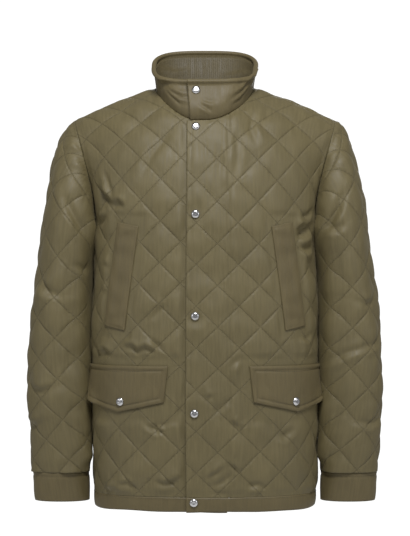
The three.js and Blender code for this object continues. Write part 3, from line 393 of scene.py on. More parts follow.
def mesh_object(name, points, triangles, flat=None):
    """A mesh from points in mm and triangles, shaded smooth, with flat places in m as its UV map."""
    mesh = bpy.data.meshes.new(name)
    mesh.from_pydata((np.asarray(points) * MM).tolist(), [], np.asarray(triangles).tolist())
    mesh.polygons.foreach_set("use_smooth", np.ones(len(mesh.polygons), bool))
    if flat is not None:
        layer = mesh.uv_layers.new(name="cloth")
        layer.data.foreach_set("uv", (flat[np.asarray(triangles).ravel()] * MM).ravel())
    mesh.update()
    piece = bpy.data.objects.new(name, mesh)
    bpy.context.collection.objects.link(piece)
    return piece


def give_wall(piece, thickness):
    """Solidify inwards: the points made here stay on the outer face."""
    wall = piece.modifiers.new("wall", "SOLIDIFY")
    wall.thickness, wall.offset = thickness * MM, -1
    return piece


def flat_area(points, triangles):
    a, b, c = (points[triangles[:, k]] for k in range(3))
    cross = (b[:, 0] - a[:, 0]) * (c[:, 1] - a[:, 1]) - (c[:, 0] - a[:, 0]) * (b[:, 1] - a[:, 1])
    return float(np.abs(cross).sum() / 2 * MM**2)


SHEETS = []


def cloth_piece(name, flat, triangles, skin, flipped, thickness, phase=(0, 0)):
    """A sewn piece: flat cloth put on the figure by skin(across, up), which gives its outer face."""
    if flipped:
        triangles = triangles[:, ::-1]
    points = skin(flat[:, 0], flat[:, 1])[0]
    piece = give_wall(mesh_object(name, points, triangles, flat - np.array(phase)), thickness)
    width, length = np.ptp(flat, axis=0) * MM
    SHEETS.append((piece, (float(width), float(length)), flat_area(flat, triangles)))
    print(name, "points", len(flat), "cut", np.round([width, length], 3), "m")
    return piece


# %% [markdown]
# ## Fronts and back
# The outline of a front is a maker's block: a straight centre edge, a round neckline, a sloping
# shoulder seam, a scooped armhole and a straight side seam. The wearer's left front runs past the
# centre and laps over the right one, so it stands off by the thickness of the fly.

# %% Outlines of the body pieces
SEAM_GAP = 0.04  # the edges all but touch, so that no light comes through a seam
ARMHOLES = {"front": (232, 70), "back": (218, 95)}  # innermost point, height of the scoop
UNDERARM = CHEST_UP - 3
SHOULDER_TRIM = SEAM_GAP
FINE = np.linspace(0, 1, 121)


def armhole(side):
    """Half a piece's armhole from the side seam up: a quarter ellipse, then a rise to the tip."""
    inmost, bend = ARMHOLES[side]
    seam = QUARTER_LENGTH[side]
    turn = FINE * np.pi / 2
    scoop = np.stack([seam - (seam - inmost) * np.sin(turn), UNDERARM + bend * (1 - np.cos(turn))], -1)
    tip = float(shoulder_up(side, SHOULDER_HALF))
    rise = np.stack([mix(inmost, SHOULDER_HALF, np.sin(turn)), mix(UNDERARM + bend, tip, FINE)], -1)
    return np.concatenate([scoop, rise[1:]])


def neck_point(side, share):
    """Half the neckline: a quarter ellipse, 0 at the centre, 1 at the shoulder, level below 0."""
    turn = np.maximum(share, 0) * np.pi / 2
    across = np.where(share < 0, NECK_HALF * share * np.pi / 2, NECK_HALF * np.sin(turn))
    top = float(shoulder_up(side, NECK_HALF))
    return np.stack([across, mix(NECK_UP[side], top, 1 - np.cos(turn))], -1)


def half_outline(side, centre):
    """The edges left(up) and right(up) of half a body piece, its levels' ends and its outline."""
    seam = QUARTER_LENGTH[side] - SEAM_GAP / 2
    reach = mix(SHOULDER_HALF, NECK_HALF, FINE)
    shoulder = np.stack([reach, shoulder_up(side, reach) - SHOULDER_TRIM], -1)
    hole = armhole(side)
    hole[:, 0] = np.minimum(hole[:, 0], seam)
    hole = hole[hole[:, 1] < shoulder[0, 1]]
    outside = np.concatenate([[[seam, BAND_HEIGHT + SEAM_GAP]], hole, shoulder])
    neck = neck_point(side, FINE)
    neck = np.concatenate([neck[neck[:, 1] < shoulder[-1, 1]], shoulder[-1:]])

    def left(up):
        return np.where(up <= NECK_UP[side], centre, np.interp(up, neck[:, 1], neck[:, 0]))

    def right(up):
        return np.interp(up, outside[:, 1], outside[:, 0])

    return left, right, outside, neck


PHASES = {
    "front_right": (41, 455),
    "front_left": (55.5, 416.5),
    "back": (0, 440),
    "sleeve_left": (-29, 250),
    "sleeve_right": (-24, 232),
}
SNAP_ROWS = ((-15.5, 650), (-16, 501), (-16, 330), (-17, 167), (-18.5, 17))
FLAP = {"top": 246, "drop": 61, "point": 18, "half": 87, "slant": 7, "tip": -5.5, "flare": 18}
FLAP_MIDDLE = {1: 158.5, -1: 146.5}
WELT = {
    "top": 481,
    "bottom": 305,
    "rise": 8,  # how much higher its outer corners lie than its inner ones
    "top_inner": 114,
    "top_outer": 154,
    "low_inner": 134,
    "low_outer": 176,
}


def near_applied(sign, x, y):
    """1 under a flap or a welt and 0 well away from it."""
    inner = smoothstep(FLAP["half"] + 24, FLAP["half"] + 10, np.abs(x - FLAP_MIDDLE[sign]))
    foot = FLAP["top"] - FLAP["drop"] - FLAP["point"]
    rows = smoothstep(FLAP["top"] + 24, FLAP["top"] + 10, y) * smoothstep(foot - 24, foot - 10, y)
    share = (WELT["top"] - y) / (WELT["top"] - WELT["bottom"])
    left = mix(WELT["top_inner"], WELT["low_inner"], share)
    right = mix(WELT["top_outer"], WELT["low_outer"], share)
    beside = smoothstep(left - 17, left - 7, x) * smoothstep(right + 17, right + 7, x)
    above = smoothstep(WELT["top"] + WELT["rise"] + 20, WELT["top"] + WELT["rise"] + 8, y)
    below = smoothstep(WELT["bottom"] - 20, WELT["bottom"] - 8, y)
    return np.maximum(inner * rows, beside * above * below)


def fly_step(across):
    return FLY_STEP * smoothstep(FLY_STITCH + FLY_FADE, FLY_STITCH, across)


FOLDS = {
    "front_right": [
        (3.4, 5.0, (78, 268), (97, 275), (110, 269), (121, 277), (134, 275)),
        (3.0, 5.5, (158, 256), (176, 268), (190, 259), (204, 272)),
        (2.8, 5.5, (28, 182), (40, 170), (56, 160), (66, 148), (80, 150), (86, 134)),
        (2.6, 5.0, (36, 62), (52, 50), (68, 46), (84, 52)),
        (2.2, 5.0, (118, 38), (130, 46), (146, 42)),
        (2.4, 6.0, (150, 40), (166, 30), (182, 36)),
        (3.4, 6.0, (162, 519), (180, 527), (197, 541)),
        (3.4, 5.5, (140, 512), (152, 519), (166, 512)),
        (3.0, 6.0, (176, 500), (196, 490), (214, 492)),
        (2.2, 6.0, (60, 350), (76, 338), (88, 322)),
        (2.0, 7.0, (60, 640), (92, 600), (112, 560)),
        (2.2, 6.0, (150, 420), (166, 410), (186, 416)),
        (2.0, 6.0, (152, 375), (170, 366), (190, 372)),
        (2.4, 4.5, (86, 292), (78, 282), (68, 274)),
        (2.4, 4.5, (100, 150), (78, 136), (82, 149)),
        (2.6, 5.0, (182, 572), (170, 546), (160, 523)),
    ],
    "front_left": [
        (2.6, 5.5, (104, 37), (88, 46), (70, 44)),
        (2.4, 5.0, (44, 66), (30, 52), (12, 44)),
        (2.4, 5.0, (40, 30), (24, 30), (10, 34)),
        (4.4, 7.0, (205, 480), (186, 472), (168, 466), (148, 458)),
        (3.6, 6.5, (206, 449), (184, 444), (158, 450)),
        (2.6, 6.0, (208, 512), (190, 500), (172, 496)),
        (2.4, 5.5, (196, 300), (180, 292), (168, 298), (156, 292)),
        (1.8, 7.0, (52, 640), (56, 600), (50, 560)),
        (1.6, 7.0, (22, 620), (26, 585), (20, 545)),
        (1.8, 6.0, (84, 690), (78, 650), (90, 610)),
        (2.2, 5.5, (60, 262), (48, 252), (40, 240)),
        (2.0, 5.5, (36, 190), (24, 176), (14, 168)),
        (2.2, 6.0, (150, 140), (132, 126), (118, 130)),
        (2.4, 4.5, (2, 56), (22, 68), (34, 79)),
        (2.0, 4.0, (3, 191), (14, 197)),
        (2.2, 4.5, (40, 156), (55, 141)),
        (2.2, 4.5, (38, 83), (55, 66)),
        (2.8, 5.0, (158, 472), (172, 479), (187, 484)),
    ],
    "back": [
        (3.2, 7.0, (-205, 505), (-180, 490), (-150, 486)),
        (3.0, 7.0, (206, 520), (184, 500), (158, 496)),
        (2.4, 6.0, (-190, 470), (-168, 462), (-150, 468)),
        (2.0, 9.0, (-96, 600), (-60, 566), (-22, 560)),
        (2.2, 9.0, (112, 580), (80, 548), (38, 540)),
        (2.4, 6.5, (-150, 60), (-128, 48), (-104, 54)),
        (2.2, 6.5, (84, 44), (108, 56), (132, 48)),
        (2.0, 7.0, (-40, 74), (-18, 60), (10, 66)),
        (2.4, 8.0, (-70, 300), (-34, 288), (0, 296), (30, 286)),
        (2.0, 8.0, (150, 330), (120, 318), (96, 324)),
        (2.0, 8.0, (-170, 250), (-148, 238), (-120, 246)),
        (1.8, 9.0, (20, 420), (60, 408), (96, 414)),
    ],
}


def seam_ripples(distance, x, y):
    """Short waves that run away from a seam, because its thread is a little tighter than the cloth."""
    wave = np.sin((x + y) / 3.1 + 1.7 * np.sin((x - y) / 19.0)) * np.sin((y - 0.6 * x) / 4.3)
    return 0.42 * wave * np.exp(-distance / 9) * smoothstep(0, 4, distance)


def front_height(sign):
    name = "front_left" if sign > 0 else "front_right"
    outside, neck = half_outline("front", -FLY_LAP)[2:]
    centre_edge = [[-FLY_LAP if sign > 0 else -UNDERLAP, BAND_HEIGHT], [-FLY_LAP, NECK_UP["front"]]]
    outline = np.concatenate([outside[::4], neck[::-4], [centre_edge[1]]])
    seed = 3 + sign

    def height(x, y):
        edge = path_distance(outline, x, y)[0]
        hem = y - BAND_HEIGHT
        seam = smoothstep(-1, SEAM_PRESS, np.minimum(edge, hem))
        beside = 1 - 0.66 * smoothstep(0.72, 0.95, x / QUARTER_LENGTH["front"])
        flat = 1 - 0.9 * near_applied(sign, x, y)
        if sign > 0:
            nearest = np.min([np.hypot(x - sx, y - sy) for sx, sy in SNAP_ROWS], axis=0)
            open_cloth = 0.2 + 0.8 * smoothstep(7, 26, nearest)
            open_cloth *= 1 - 0.25 * smoothstep(FLY_STITCH + 8, FLY_STITCH - 2, x)
            at_fly, at_edge = (x - FLY_STITCH) / 1.8, (x + FLY_LAP - FLY_EDGE_STITCH) / 1.5
            stitched = np.exp(-(at_fly**2)) + 0.8 * np.exp(-(at_edge**2))
        else:
            open_cloth = smoothstep(FLY_LAP + 2, FLY_LAP + 14, x)
            stitched = 0
        raised = PUFF * quilting(x, y, PHASES[name], seed) * seam * beside
        moved = 1.1 * wrinkles(x, y, 11 + sign) + folds(x, y, FOLDS[name]) + seam_ripples(edge, x, y)
        loose = flat * open_cloth * smoothstep(-2, 12, hem) * smoothstep(0, 9, edge + 3 * (x < 0))
        return raised * flat * open_cloth + moved * loose - 1.9 * stitched

    return height


def front_skin(sign, height):
    """The outer face of a front: base surface, fly step and cloth height along the normal."""

    def skin(x, y):
        point, normal, along, rise = body_frame("front", sign * x, y)
        lift = height(x, y) + (fly_step(x) if sign > 0 else 0)
        return point + normal * lift[..., None], normal

    return skin


def back_height(x, y):
    reach = np.abs(x)
    outside, neck = half_outline("back", 0)[2:]
    outline = np.concatenate([outside[::4], neck[::-4]])
    edge = np.minimum(path_distance(outline, reach, y)[0], 400)
    hem = y - BAND_HEIGHT
    seam = smoothstep(-1, SEAM_PRESS, np.minimum(edge, hem))
    beside = 1 - 0.66 * smoothstep(0.72, 0.95, reach / QUARTER_LENGTH["back"])
    raised = PUFF * quilting(x, y, PHASES["back"], 7) * seam * beside
    moved = 1.1 * wrinkles(x, y, 23) + folds(x, y, FOLDS["back"]) + seam_ripples(edge, x, y)
    return raised + moved * smoothstep(-2, 12, hem) * smoothstep(0, 9, edge)


def back_skin(x, y, height=back_height):
    point, normal, along, rise = body_frame("back", x, y)
    return point + normal * height(x, y)[..., None], normal


SKINS = {}
for name, sign, centre in (("front_left", 1, -FLY_LAP), ("front_right", -1, -UNDERLAP)):
    left, right, outside, neck = half_outline("front", centre)
    extra = [*(NECK_UP["front"] + np.array([0, 0.4, 1.4])), *(UNDERARM + np.array([0, 0.5, 1.6]))]
    levels = row_levels(BAND_HEIGHT + SEAM_GAP, outside[-1, 1], PHASES[name][1], extra)
    flat, triangles = cut_grid(left, right, levels, PHASES[name])
    SKINS[name] = front_skin(sign, front_height(sign))
    cloth_piece(f"{name}_cloth", flat, triangles, SKINS[name], sign < 0, CLOTH, PHASES[name])

left, right, outside, neck = half_outline("back", 0)
extra = [*(NECK_UP["back"] + np.array([0, 0.3, 1.0])), *(UNDERARM + np.array([0, 0.5, 1.6]))]
levels = row_levels(BAND_HEIGHT + SEAM_GAP, outside[-1, 1], PHASES["back"][1], extra, BACK_CELLS)
flat, triangles = mirrored(*cut_grid(left, right, levels, PHASES["back"], BACK_CELLS))
SKINS["back"] = back_skin
cloth_piece("back_cloth", flat, triangles, back_skin, True, CLOTH, PHASES["back"])

# %% [markdown]
# ## The hem band
# The bottom of the jacket is a band of the plain cloth, folded double. It is a little fuller in
# the middle of its height than at its seam and fold, and its lower edge wanders by a millimetre.

# %% Hem bands
HEM_WALL, HEM_BULGE = 2.8, 1.2


def hem_height(side, sign):
    def height(x, y):
        share = np.clip(y / BAND_HEIGHT, 0, 1)
        ripple = 0.35 * wrinkles(x, 2.2 * y, 40 + sign + (side == "back"))
        pulls = 0.3 * np.sin(x / 5.1 + 2 * np.sin(x / 37)) * smoothstep(0.4, 1, share)
        inner = 0.6 if side == "front" and sign < 0 else 1
        return inner * HEM_BULGE * np.sin(np.pi * share) + (ripple + pulls) * np.sin(np.pi * share) ** 0.5

    return height


def hem_skin(side, sign):
    height = hem_height(side, sign)

    def skin(x, y):
        lower = 0.9 * (np.sin(x / 41 + sign) + 0.6 * np.sin(x / 17)) * (1 - y / BAND_HEIGHT)
        point, normal, along, rise = body_frame(side, x if side == "back" else sign * x, y + lower)
        lift = height(x, y) + (fly_step(x) if side == "front" and sign > 0 else 0)
        return point + normal * lift[..., None], normal

    return skin


def level_edge(value):
    return lambda up: np.full(np.shape(up), float(value))


HEM_LEVELS = np.linspace(0, BAND_HEIGHT, 9)
for name, side, sign, centre in (
    ("hem_front_left", "front", 1, -FLY_LAP),
    ("hem_front_right", "front", -1, -UNDERLAP),
    ("hem_back", "back", 1, 0),
):
    seam = level_edge(QUARTER_LENGTH[side] - SEAM_GAP / 2)
    flat, triangles = cut_grid(level_edge(centre), seam, HEM_LEVELS, (0, 0))
    if side == "back":
        flat, triangles = mirrored(flat, triangles)
    SKINS[name] = hem_skin(side, sign)
    flipped = side == "back" or sign < 0
    cloth_piece(f"{name}_band", flat, triangles, SKINS[name], flipped, HEM_WALL)

# %% [markdown]
# ## Sleeves
# A sleeve is one pattern piece with its seam under the arm. Up to the biceps it is a slanting
# tube. Above that, each thread of cloth follows a cubic from the tube to its own place on the
# armhole: at the shoulder tip it runs on out of the shoulder, and at the underarm it folds right
# back, because an arm that hangs down presses the sleeve against the side of the body.

# %% Sleeve sections and the sleeve head
SLEEVE = {
    "z": [-724, -675, -600, -500, -400, -330, -290],
    "outer": [296, 299.5, 304, 307.5, 303.5, 294, 290],
    "inner": [201, 202, 202.5, 202.5, 202.5, 202.5, 203],
    "middle": [-28, -27, -22, -14, -4, 1, 2],
    "depth": [37, 42, 52, 64, 74, 80, 82],
}
SLEEVE_SQUARENESS = 2.2
CUFF_TOP_Z, CUFF_BOTTOM_Z, BICEP_Z = -670, -720, -330
TIP_PULL, UNDERARM_PULL = 0.5, 0.8
HEAD_LIFT, UNDERARM_FOLD = 10, 180  # degrees that the sleeve turns up off the cloth: tip, underarm
FOLD_FROM, FOLD_TO = 0.04, 0.97
ARMHOLE_GAP, UNDERARM_CLEAR = 0.1, 0.5
SLEEVE_BEND = BICEP_Z - CUFF_TOP_Z


def sleeve_ring(angle, z):
    """Superellipse round the arm: angle 0 is the outer side, a half turn the underarm seam."""
    power = 2 / SLEEVE_SQUARENESS
    outer, inner = section(SLEEVE, "outer", z), section(SLEEVE, "inner", z)
    along, across = np.cos(angle), np.abs(np.sin(angle))
    x = (outer + inner) / 2 + (outer - inner) / 2 * np.sign(along) * np.abs(along) ** power
    y = section(SLEEVE, "middle", z) + np.sign(angle) * section(SLEEVE, "depth", z) * across**power
    return stack(x, y, z)


RING_Z = np.linspace(CUFF_BOTTOM_Z, BICEP_Z, 100)
RING_ANGLES = np.linspace(0, np.pi, 901)
rings = sleeve_ring(RING_ANGLES[None, :], RING_Z[:, None] + 0 * RING_ANGLES[None, :])
RING_ARCS = arc_lengths(rings[..., 0], rings[..., 1])
ARC_STEP = 0.5
ARC_GRID = np.arange(0, RING_ARCS.max() + 2, ARC_STEP)
RING_TABLE = np.stack([np.interp(ARC_GRID, arcs, RING_ANGLES) for arcs in RING_ARCS])
SLEEVE_HALF = float(RING_ARCS[-1, -1])
print("sleeve round half the biceps, mm:", round(SLEEVE_HALF, 1))


def ring_angle(across, z):
    """Angle at an arc length round the ring at height z, read between the rows of the table."""
    row = np.clip((z - CUFF_BOTTOM_Z) / (BICEP_Z - CUFF_BOTTOM_Z) * (len(RING_Z) - 1), 0, len(RING_Z) - 1.001)
    column = np.clip(np.abs(across) / ARC_STEP, 0, len(ARC_GRID) - 1.001)
    i, j = row.astype(int), column.astype(int)
    u, v = row - i, column - j
    low = mix(RING_TABLE[i, j], RING_TABLE[i, j + 1], v)
    high = mix(RING_TABLE[i + 1, j], RING_TABLE[i + 1, j + 1], v)
    return np.where(across < 0, -1, 1) * mix(low, high, u)


def along_path(path, share):
    """Point at a share of a flat path's length."""
    shares = arc_lengths(path[:, 0], path[:, 1])
    shares /= shares[-1]
    return np.stack([np.interp(share, shares, path[:, k]) for k in (0, 1)], -1)


def sewn_on(side, edge_point, tangent, turn, gap):
    """Where a piece sewn to an edge starts, the way it leaves, and the normal of the cloth there."""
    point, normal, along, rise = body_frame(side, edge_point[:, 0], edge_point[:, 1])
    edge = along * tangent[:, :1] + rise * tangent[:, 1:]
    out = unit(np.cross(edge, normal))
    cosine, sine = np.cos(np.radians(turn))[:, None], np.sin(np.radians(turn))[:, None]
    start = point + out * (gap + CLOTH * np.maximum(0, -sine))
    return start, out * cosine + normal * sine, normal


def sleeve_head(side, share):
    """The cubic of each thread between the tube and the armhole, for one side of the sleeve."""
    path, facing = armhole(side)[::-1], -1 if side == "front" else 1
    ends = [along_path(path, np.clip(share + step, 0, 1)) for step in (-0.03, 0.03)]
    fold = smoothstep(FOLD_FROM, FOLD_TO, share)
    turn = mix(HEAD_LIFT, UNDERARM_FOLD, fold)
    tangent = (ends[1] - ends[0]) * facing
    start, leaving, normal = sewn_on(side, along_path(path, share), tangent, turn, ARMHOLE_GAP)
    start = start + normal * (UNDERARM_CLEAR * smoothstep(0.2, 0.9, fold))[:, None]
    angle = ring_angle(share * SLEEVE_HALF, np.full_like(share, BICEP_Z)) * facing
    foot = sleeve_ring(angle, np.full_like(share, BICEP_Z))
    above = sleeve_ring(angle, np.full_like(share, BICEP_Z + 1.0))
    length = EASE * np.linalg.norm(foot - start, axis=-1)
    pull = length * mix(TIP_PULL, UNDERARM_PULL, fold)
    rise, over = (above - foot) * length[:, None], -leaving * pull[:, None]
    return np.concatenate([foot, rise, start, over, length[:, None]], axis=-1)


HEAD_SHARES = np.linspace(0, 1, 401)
HEAD = np.concatenate([sleeve_head("front", HEAD_SHARES)[::-1], sleeve_head("back", HEAD_SHARES)[1:]])
HEAD_ACROSS = np.r_[-HEAD_SHARES[::-1], HEAD_SHARES[1:]] * SLEEVE_HALF


def from_table(places, table, wanted):
    return np.stack([np.interp(wanted, places, table[:, k]) for k in range(table.shape[1])], -1)


def sleeve_surface(across, up):
    z = CUFF_TOP_Z + np.minimum(up, SLEEVE_BEND)
    tube = sleeve_ring(ring_angle(across, z), z)
    head = from_table(HEAD_ACROSS, HEAD, across)
    t = (np.maximum(up - SLEEVE_BEND, 0) / head[..., 12])[..., None]
    bent = hermite(head[..., 0:3], head[..., 3:6], head[..., 6:9], head[..., 9:12], t)
    return np.where((up <= SLEEVE_BEND)[..., None], tube, bent)


# %% Sleeves and cuffs
STRAIGHT_UP = np.linspace(2 * SEAM_GAP, SLEEVE_BEND, 60)
STRAIGHT_HALF = np.interp(STRAIGHT_UP + CUFF_TOP_Z, RING_Z, RING_ARCS[:, -1]) - SEAM_GAP / 2


def sleeve_edge(facing):
    """One side of the sleeve's outline from the cuff up to the tip, in its own positive across."""
    half = HEAD[: len(HEAD_SHARES)][::-1] if facing < 0 else HEAD[len(HEAD_SHARES) - 1 :]
    reach = np.minimum(HEAD_SHARES[::-1] * SLEEVE_HALF, SLEEVE_HALF - SEAM_GAP / 2)
    cap = np.stack([reach, SLEEVE_BEND + half[::-1, 12]], -1)
    return np.concatenate([np.stack([STRAIGHT_HALF, STRAIGHT_UP], -1), cap])


BACK_EDGE, FRONT_EDGE = sleeve_edge(1), sleeve_edge(-1)
SLEEVE_TIP = min(BACK_EDGE[-1, 1], FRONT_EDGE[-1, 1])
SLEEVE_OUTLINE = np.concatenate([BACK_EDGE[::6], (FRONT_EDGE * (-1, 1))[::-6]])
SLEEVE_FOLDS = {
    "sleeve_right": [
        (3.4, 6.5, (-92, 470), (-112, 440), (-134, 412), (-152, 392)),
        (2.6, 6.0, (-120, 360), (-140, 350), (-160, 356)),
        (2.2, 6.5, (-60, 330), (-84, 312), (-108, 306)),
        (2.4, 6.0, (-60, 90), (-30, 78), (0, 84)),
        (2.2, 6.0, (-90, 150), (-64, 140), (-40, 144)),
        (2.4, 7.0, (40, 300), (74, 284), (110, 290)),
        (2.4, 7.0, (60, 120), (88, 108), (120, 112)),
        (2.2, 7.0, (90, 410), (118, 392), (140, 396)),
    ],
    "sleeve_left": [
        (3.4, 6.5, (-96, 476), (-112, 446), (-130, 420), (-150, 398)),
        (2.8, 6.0, (-104, 420), (-122, 412), (-138, 416)),
        (2.2, 6.5, (-40, 223), (-76, 218), (-110, 207), (-150, 180)),
        (2.2, 6.0, (-20, 96), (-52, 84), (-84, 92)),
        (2.0, 6.0, (-100, 300), (-74, 290), (-50, 296)),
        (2.4, 7.0, (50, 280), (84, 268), (112, 274)),
        (2.4, 7.0, (44, 150), (80, 138), (110, 144)),
        (2.2, 7.0, (86, 420), (112, 400), (138, 402)),
    ],
}


def sleeve_height(sign):
    name = "sleeve_left" if sign > 0 else "sleeve_right"

    def height(x, y):
        edge = path_distance(SLEEVE_OUTLINE, x, y)[0]
        inside = smoothstep(0.55, 0.85, np.abs(x) / SLEEVE_HALF)
        raised = PUFF * quilting(x, y, PHASES[name], 13 + sign) * smoothstep(-1, SEAM_PRESS, edge)
        moved = 1.3 * wrinkles(x, y, 31 + sign) + folds(x, y, SLEEVE_FOLDS[name]) + seam_ripples(edge, x, y)
        return raised * (1 - 0.72 * inside) + moved * (1 - 0.85 * inside) * smoothstep(0, 9, edge)

    return height


CUFF_STITCH = 6  # the line of stitches below the cuff's seam


def cuff_height(x, y):
    """Full between its stitch lines, with a groove where the upper line of stitches runs."""
    share = np.clip(-y / (CUFF_TOP_Z - CUFF_BOTTOM_Z), 0, 1)
    groove = np.exp(-(((y + CUFF_STITCH) / 1.8) ** 2))
    ripple = 0.4 * wrinkles(x, 1.6 * y, 51)
    return 0.9 * np.sin(np.pi * share) + ripple * np.sin(np.pi * share) ** 0.5 - 0.9 * groove


TOUCH_LOW, TOUCH_HIGH = -650, -235  # heights between which the sleeve lies against the body
TOUCH_MOST = 8  # mm that it may be drawn in to it
BODY_FULL = 1.0  # mm that the body's quilting stands out at its side


def resting(place, normal):
    """Draws the inner side of the sleeve in until it lies against the side of the body."""
    x, y, z = place[..., 0], place[..., 1], place[..., 2]
    depth = np.where(y < 0, section(TORSO, "front", z), section(TORSO, "back", z))
    share = np.clip(np.abs(y) / depth, 0, 1) ** BODY_SQUARENESS
    body_x = section(TORSO, "half", z) * (1 - share) ** (1 / BODY_SQUARENESS) + BODY_FULL
    rows = smoothstep(TOUCH_LOW - 12, TOUCH_LOW + 10, z) * smoothstep(TOUCH_HIGH + 15, TOUCH_HIGH - 15, z)
    facing = smoothstep(-0.35, -0.85, normal[..., 0])
    gap = np.clip(x - body_x, -3, TOUCH_MOST)
    return place - stack(gap * rows * facing, 0, 0)


def sleeve_skin(sign, height):
    def skin(x, y):
        point, normal, along, rise = frame_of(sleeve_surface, x, y, 1)
        place = resting(point + normal * height(x, y)[..., None], normal)
        return place * (sign, 1, 1), normal * (sign, 1, 1)

    return skin


CUFF_LEVELS = np.linspace(CUFF_BOTTOM_Z - CUFF_TOP_Z, 0, 17)


def cuff_edge(up):
    return np.interp(up + CUFF_TOP_Z, RING_Z, RING_ARCS[:, -1]) - SEAM_GAP / 2


for name, sign in (("left", 1), ("right", -1)):
    sleeve = f"sleeve_{name}"
    extra = [*(SLEEVE_TIP - np.array([0.3, 1.2])), *(BACK_EDGE[len(STRAIGHT_UP), 1] + np.array([0, 0.6]))]
    levels = row_levels(2 * SEAM_GAP, SLEEVE_TIP, PHASES[sleeve][1], extra)
    flat, triangles = cut_grid(
        lambda up: -np.interp(up, FRONT_EDGE[:, 1], FRONT_EDGE[:, 0]),
        lambda up: np.interp(up, BACK_EDGE[:, 1], BACK_EDGE[:, 0]),
        levels,
        PHASES[sleeve],
    )
    SKINS[sleeve] = sleeve_skin(sign, sleeve_height(sign))
    cloth_piece(f"{sleeve}_cloth", flat, triangles, SKINS[sleeve], sign < 0, CLOTH, PHASES[sleeve])
    flat, triangles = cut_grid(lambda up: -cuff_edge(up), cuff_edge, CUFF_LEVELS, (0, 0))
    SKINS[f"cuff_{name}"] = sleeve_skin(sign, cuff_height)
    cloth_piece(f"cuff_{name}_band", flat, triangles, SKINS[f"cuff_{name}"], sign < 0, 3)

# %% [markdown]
# ## The standing collar
# The collar is a plain band sewn into the neckline. It rises at a steep angle, stands up inside
# a tilted ring, and ends in a soft rolled edge. Its upper end laps over the lower one in front
# and a snap holds it. Stations along the neckline and a profile up the band make one closed
# surface, and a few long folds show that it is loose cloth and not card.

# %% Collar
COLLAR_OVER, COLLAR_UNDER, COLLAR_STEP, COLLAR_TUCK, COLLAR_LEAN = 31, 15, 9.6, 1.5, 62
END_SPREAD = 1.25  # how much wider the rim's ends lie past the centre than the rest of it
COLLAR_ROLL, COLLAR_WALL = 4.2, 2.2
COLLAR_CUT, FACING_CUT = 76, 54  # heights that the band and its facing are cut to
COLLAR_SNAP = {"back": 15, "up": 55}  # from the upper end, and above the neck seam
RIM_HALF, RIM_FRONT, RIM_BACK, RIM_SQUARENESS, RIM_LEVEL, RIM_TILT = 91, -80, 60, 3.1, 44, 0.468
NECK_LENGTH = {side: float(arc_lengths(*neck_point(side, FINE).T)[-1]) for side in NECK_UP}
COLLAR_LENGTH = COLLAR_UNDER + 2 * NECK_LENGTH["front"] + 2 * NECK_LENGTH["back"] + COLLAR_OVER
RIM_DEPTH, RIM_MIDDLE = (RIM_BACK - RIM_FRONT) / 2, (RIM_BACK + RIM_FRONT) / 2
RIM_CURVE = quarter(RIM_HALF, RIM_DEPTH, RIM_SQUARENESS, QUARTER_ANGLES)
RIM_ARC = arc_lengths(*RIM_CURVE)


def collar_columns(side, sign, share):
    """For each share of a half neckline: where the collar starts and ends and which way it runs."""
    edge_point = neck_point(side, share)
    ends = [neck_point(side, share - 0.02), neck_point(side, np.minimum(share + 0.02, 1))]
    tangent = (ends[1] - ends[0]) * (-1 if side == "front" else 1)
    lean = np.full_like(share, COLLAR_LEAN)
    start, leaving, normal = sewn_on(side, edge_point, tangent, lean, SEAM_GAP)
    over = fly_step(edge_point[:, 0]) / FLY_STEP * (side == "front" and sign > 0)
    start = start + normal * (over * (FLY_STEP + 0.8) - COLLAR_TUCK)[:, None]
    reach = share * RIM_ARC[-1]
    x = np.where(share > 0, np.interp(reach, RIM_ARC, RIM_CURVE[0]), END_SPREAD * reach)
    deep = np.interp(reach, RIM_ARC, RIM_CURVE[1])
    y = RIM_MIDDLE + (-1 if side == "front" else 1) * deep
    rim = stack(x, y, RIM_LEVEL + RIM_TILT * y)
    outward = unit(stack(x, y - RIM_MIDDLE, 0 * x))
    rim[:, 1] -= over * COLLAR_STEP
    length = 1.02 * np.linalg.norm(rim - start, axis=-1)
    rise = leaving * length[:, None]
    arrive = unit(stack(0, 0, 1) + 0.12 * outward) * length[:, None]
    turn = (sign, 1, 1)
    return np.concatenate([start * turn, rise * turn, rim * turn, arrive * turn, length[:, None]], -1)


COLLAR_PLACES = np.linspace(0, COLLAR_LENGTH, 1151)
half_front, half_back = NECK_LENGTH["front"], NECK_LENGTH["back"]
COLLAR_FRONT = COLLAR_LENGTH - COLLAR_OVER  # where the upper end crosses the centre
right_tip = COLLAR_UNDER + half_front
nape = right_tip + half_back
# side, sign, where the part starts, its length, where its share is 0 and which way the share grows
COLLAR_PARTS = (
    ("front", -1, 0, right_tip, COLLAR_UNDER, 1),
    ("back", -1, right_tip, half_back, nape, -1),
    ("back", 1, nape, half_back, nape, 1),
    ("front", 1, COLLAR_FRONT - half_front, half_front + COLLAR_OVER, COLLAR_FRONT, -1),
)
COLLAR_TABLE = np.zeros((len(COLLAR_PLACES), 13))
for side, sign, start, length, zero, way in COLLAR_PARTS:
    mine = (COLLAR_PLACES >= start - 1e-6) & (COLLAR_PLACES <= start + length + 1e-6)
    share = np.minimum((COLLAR_PLACES[mine] - zero) * way / NECK_LENGTH[side], 1)
    COLLAR_TABLE[mine] = collar_columns(side, sign, share)
print("collar, mm:", round(COLLAR_LENGTH, 1), "round and", np.round(COLLAR_TABLE[::230, 12], 1), "high")


def collar_surface(along, up):
    column = from_table(COLLAR_PLACES, COLLAR_TABLE, along)
    t = (up / column[..., 12])[..., None]
    return hermite(column[..., 0:3], column[..., 3:6], column[..., 6:9], column[..., 9:12], t)


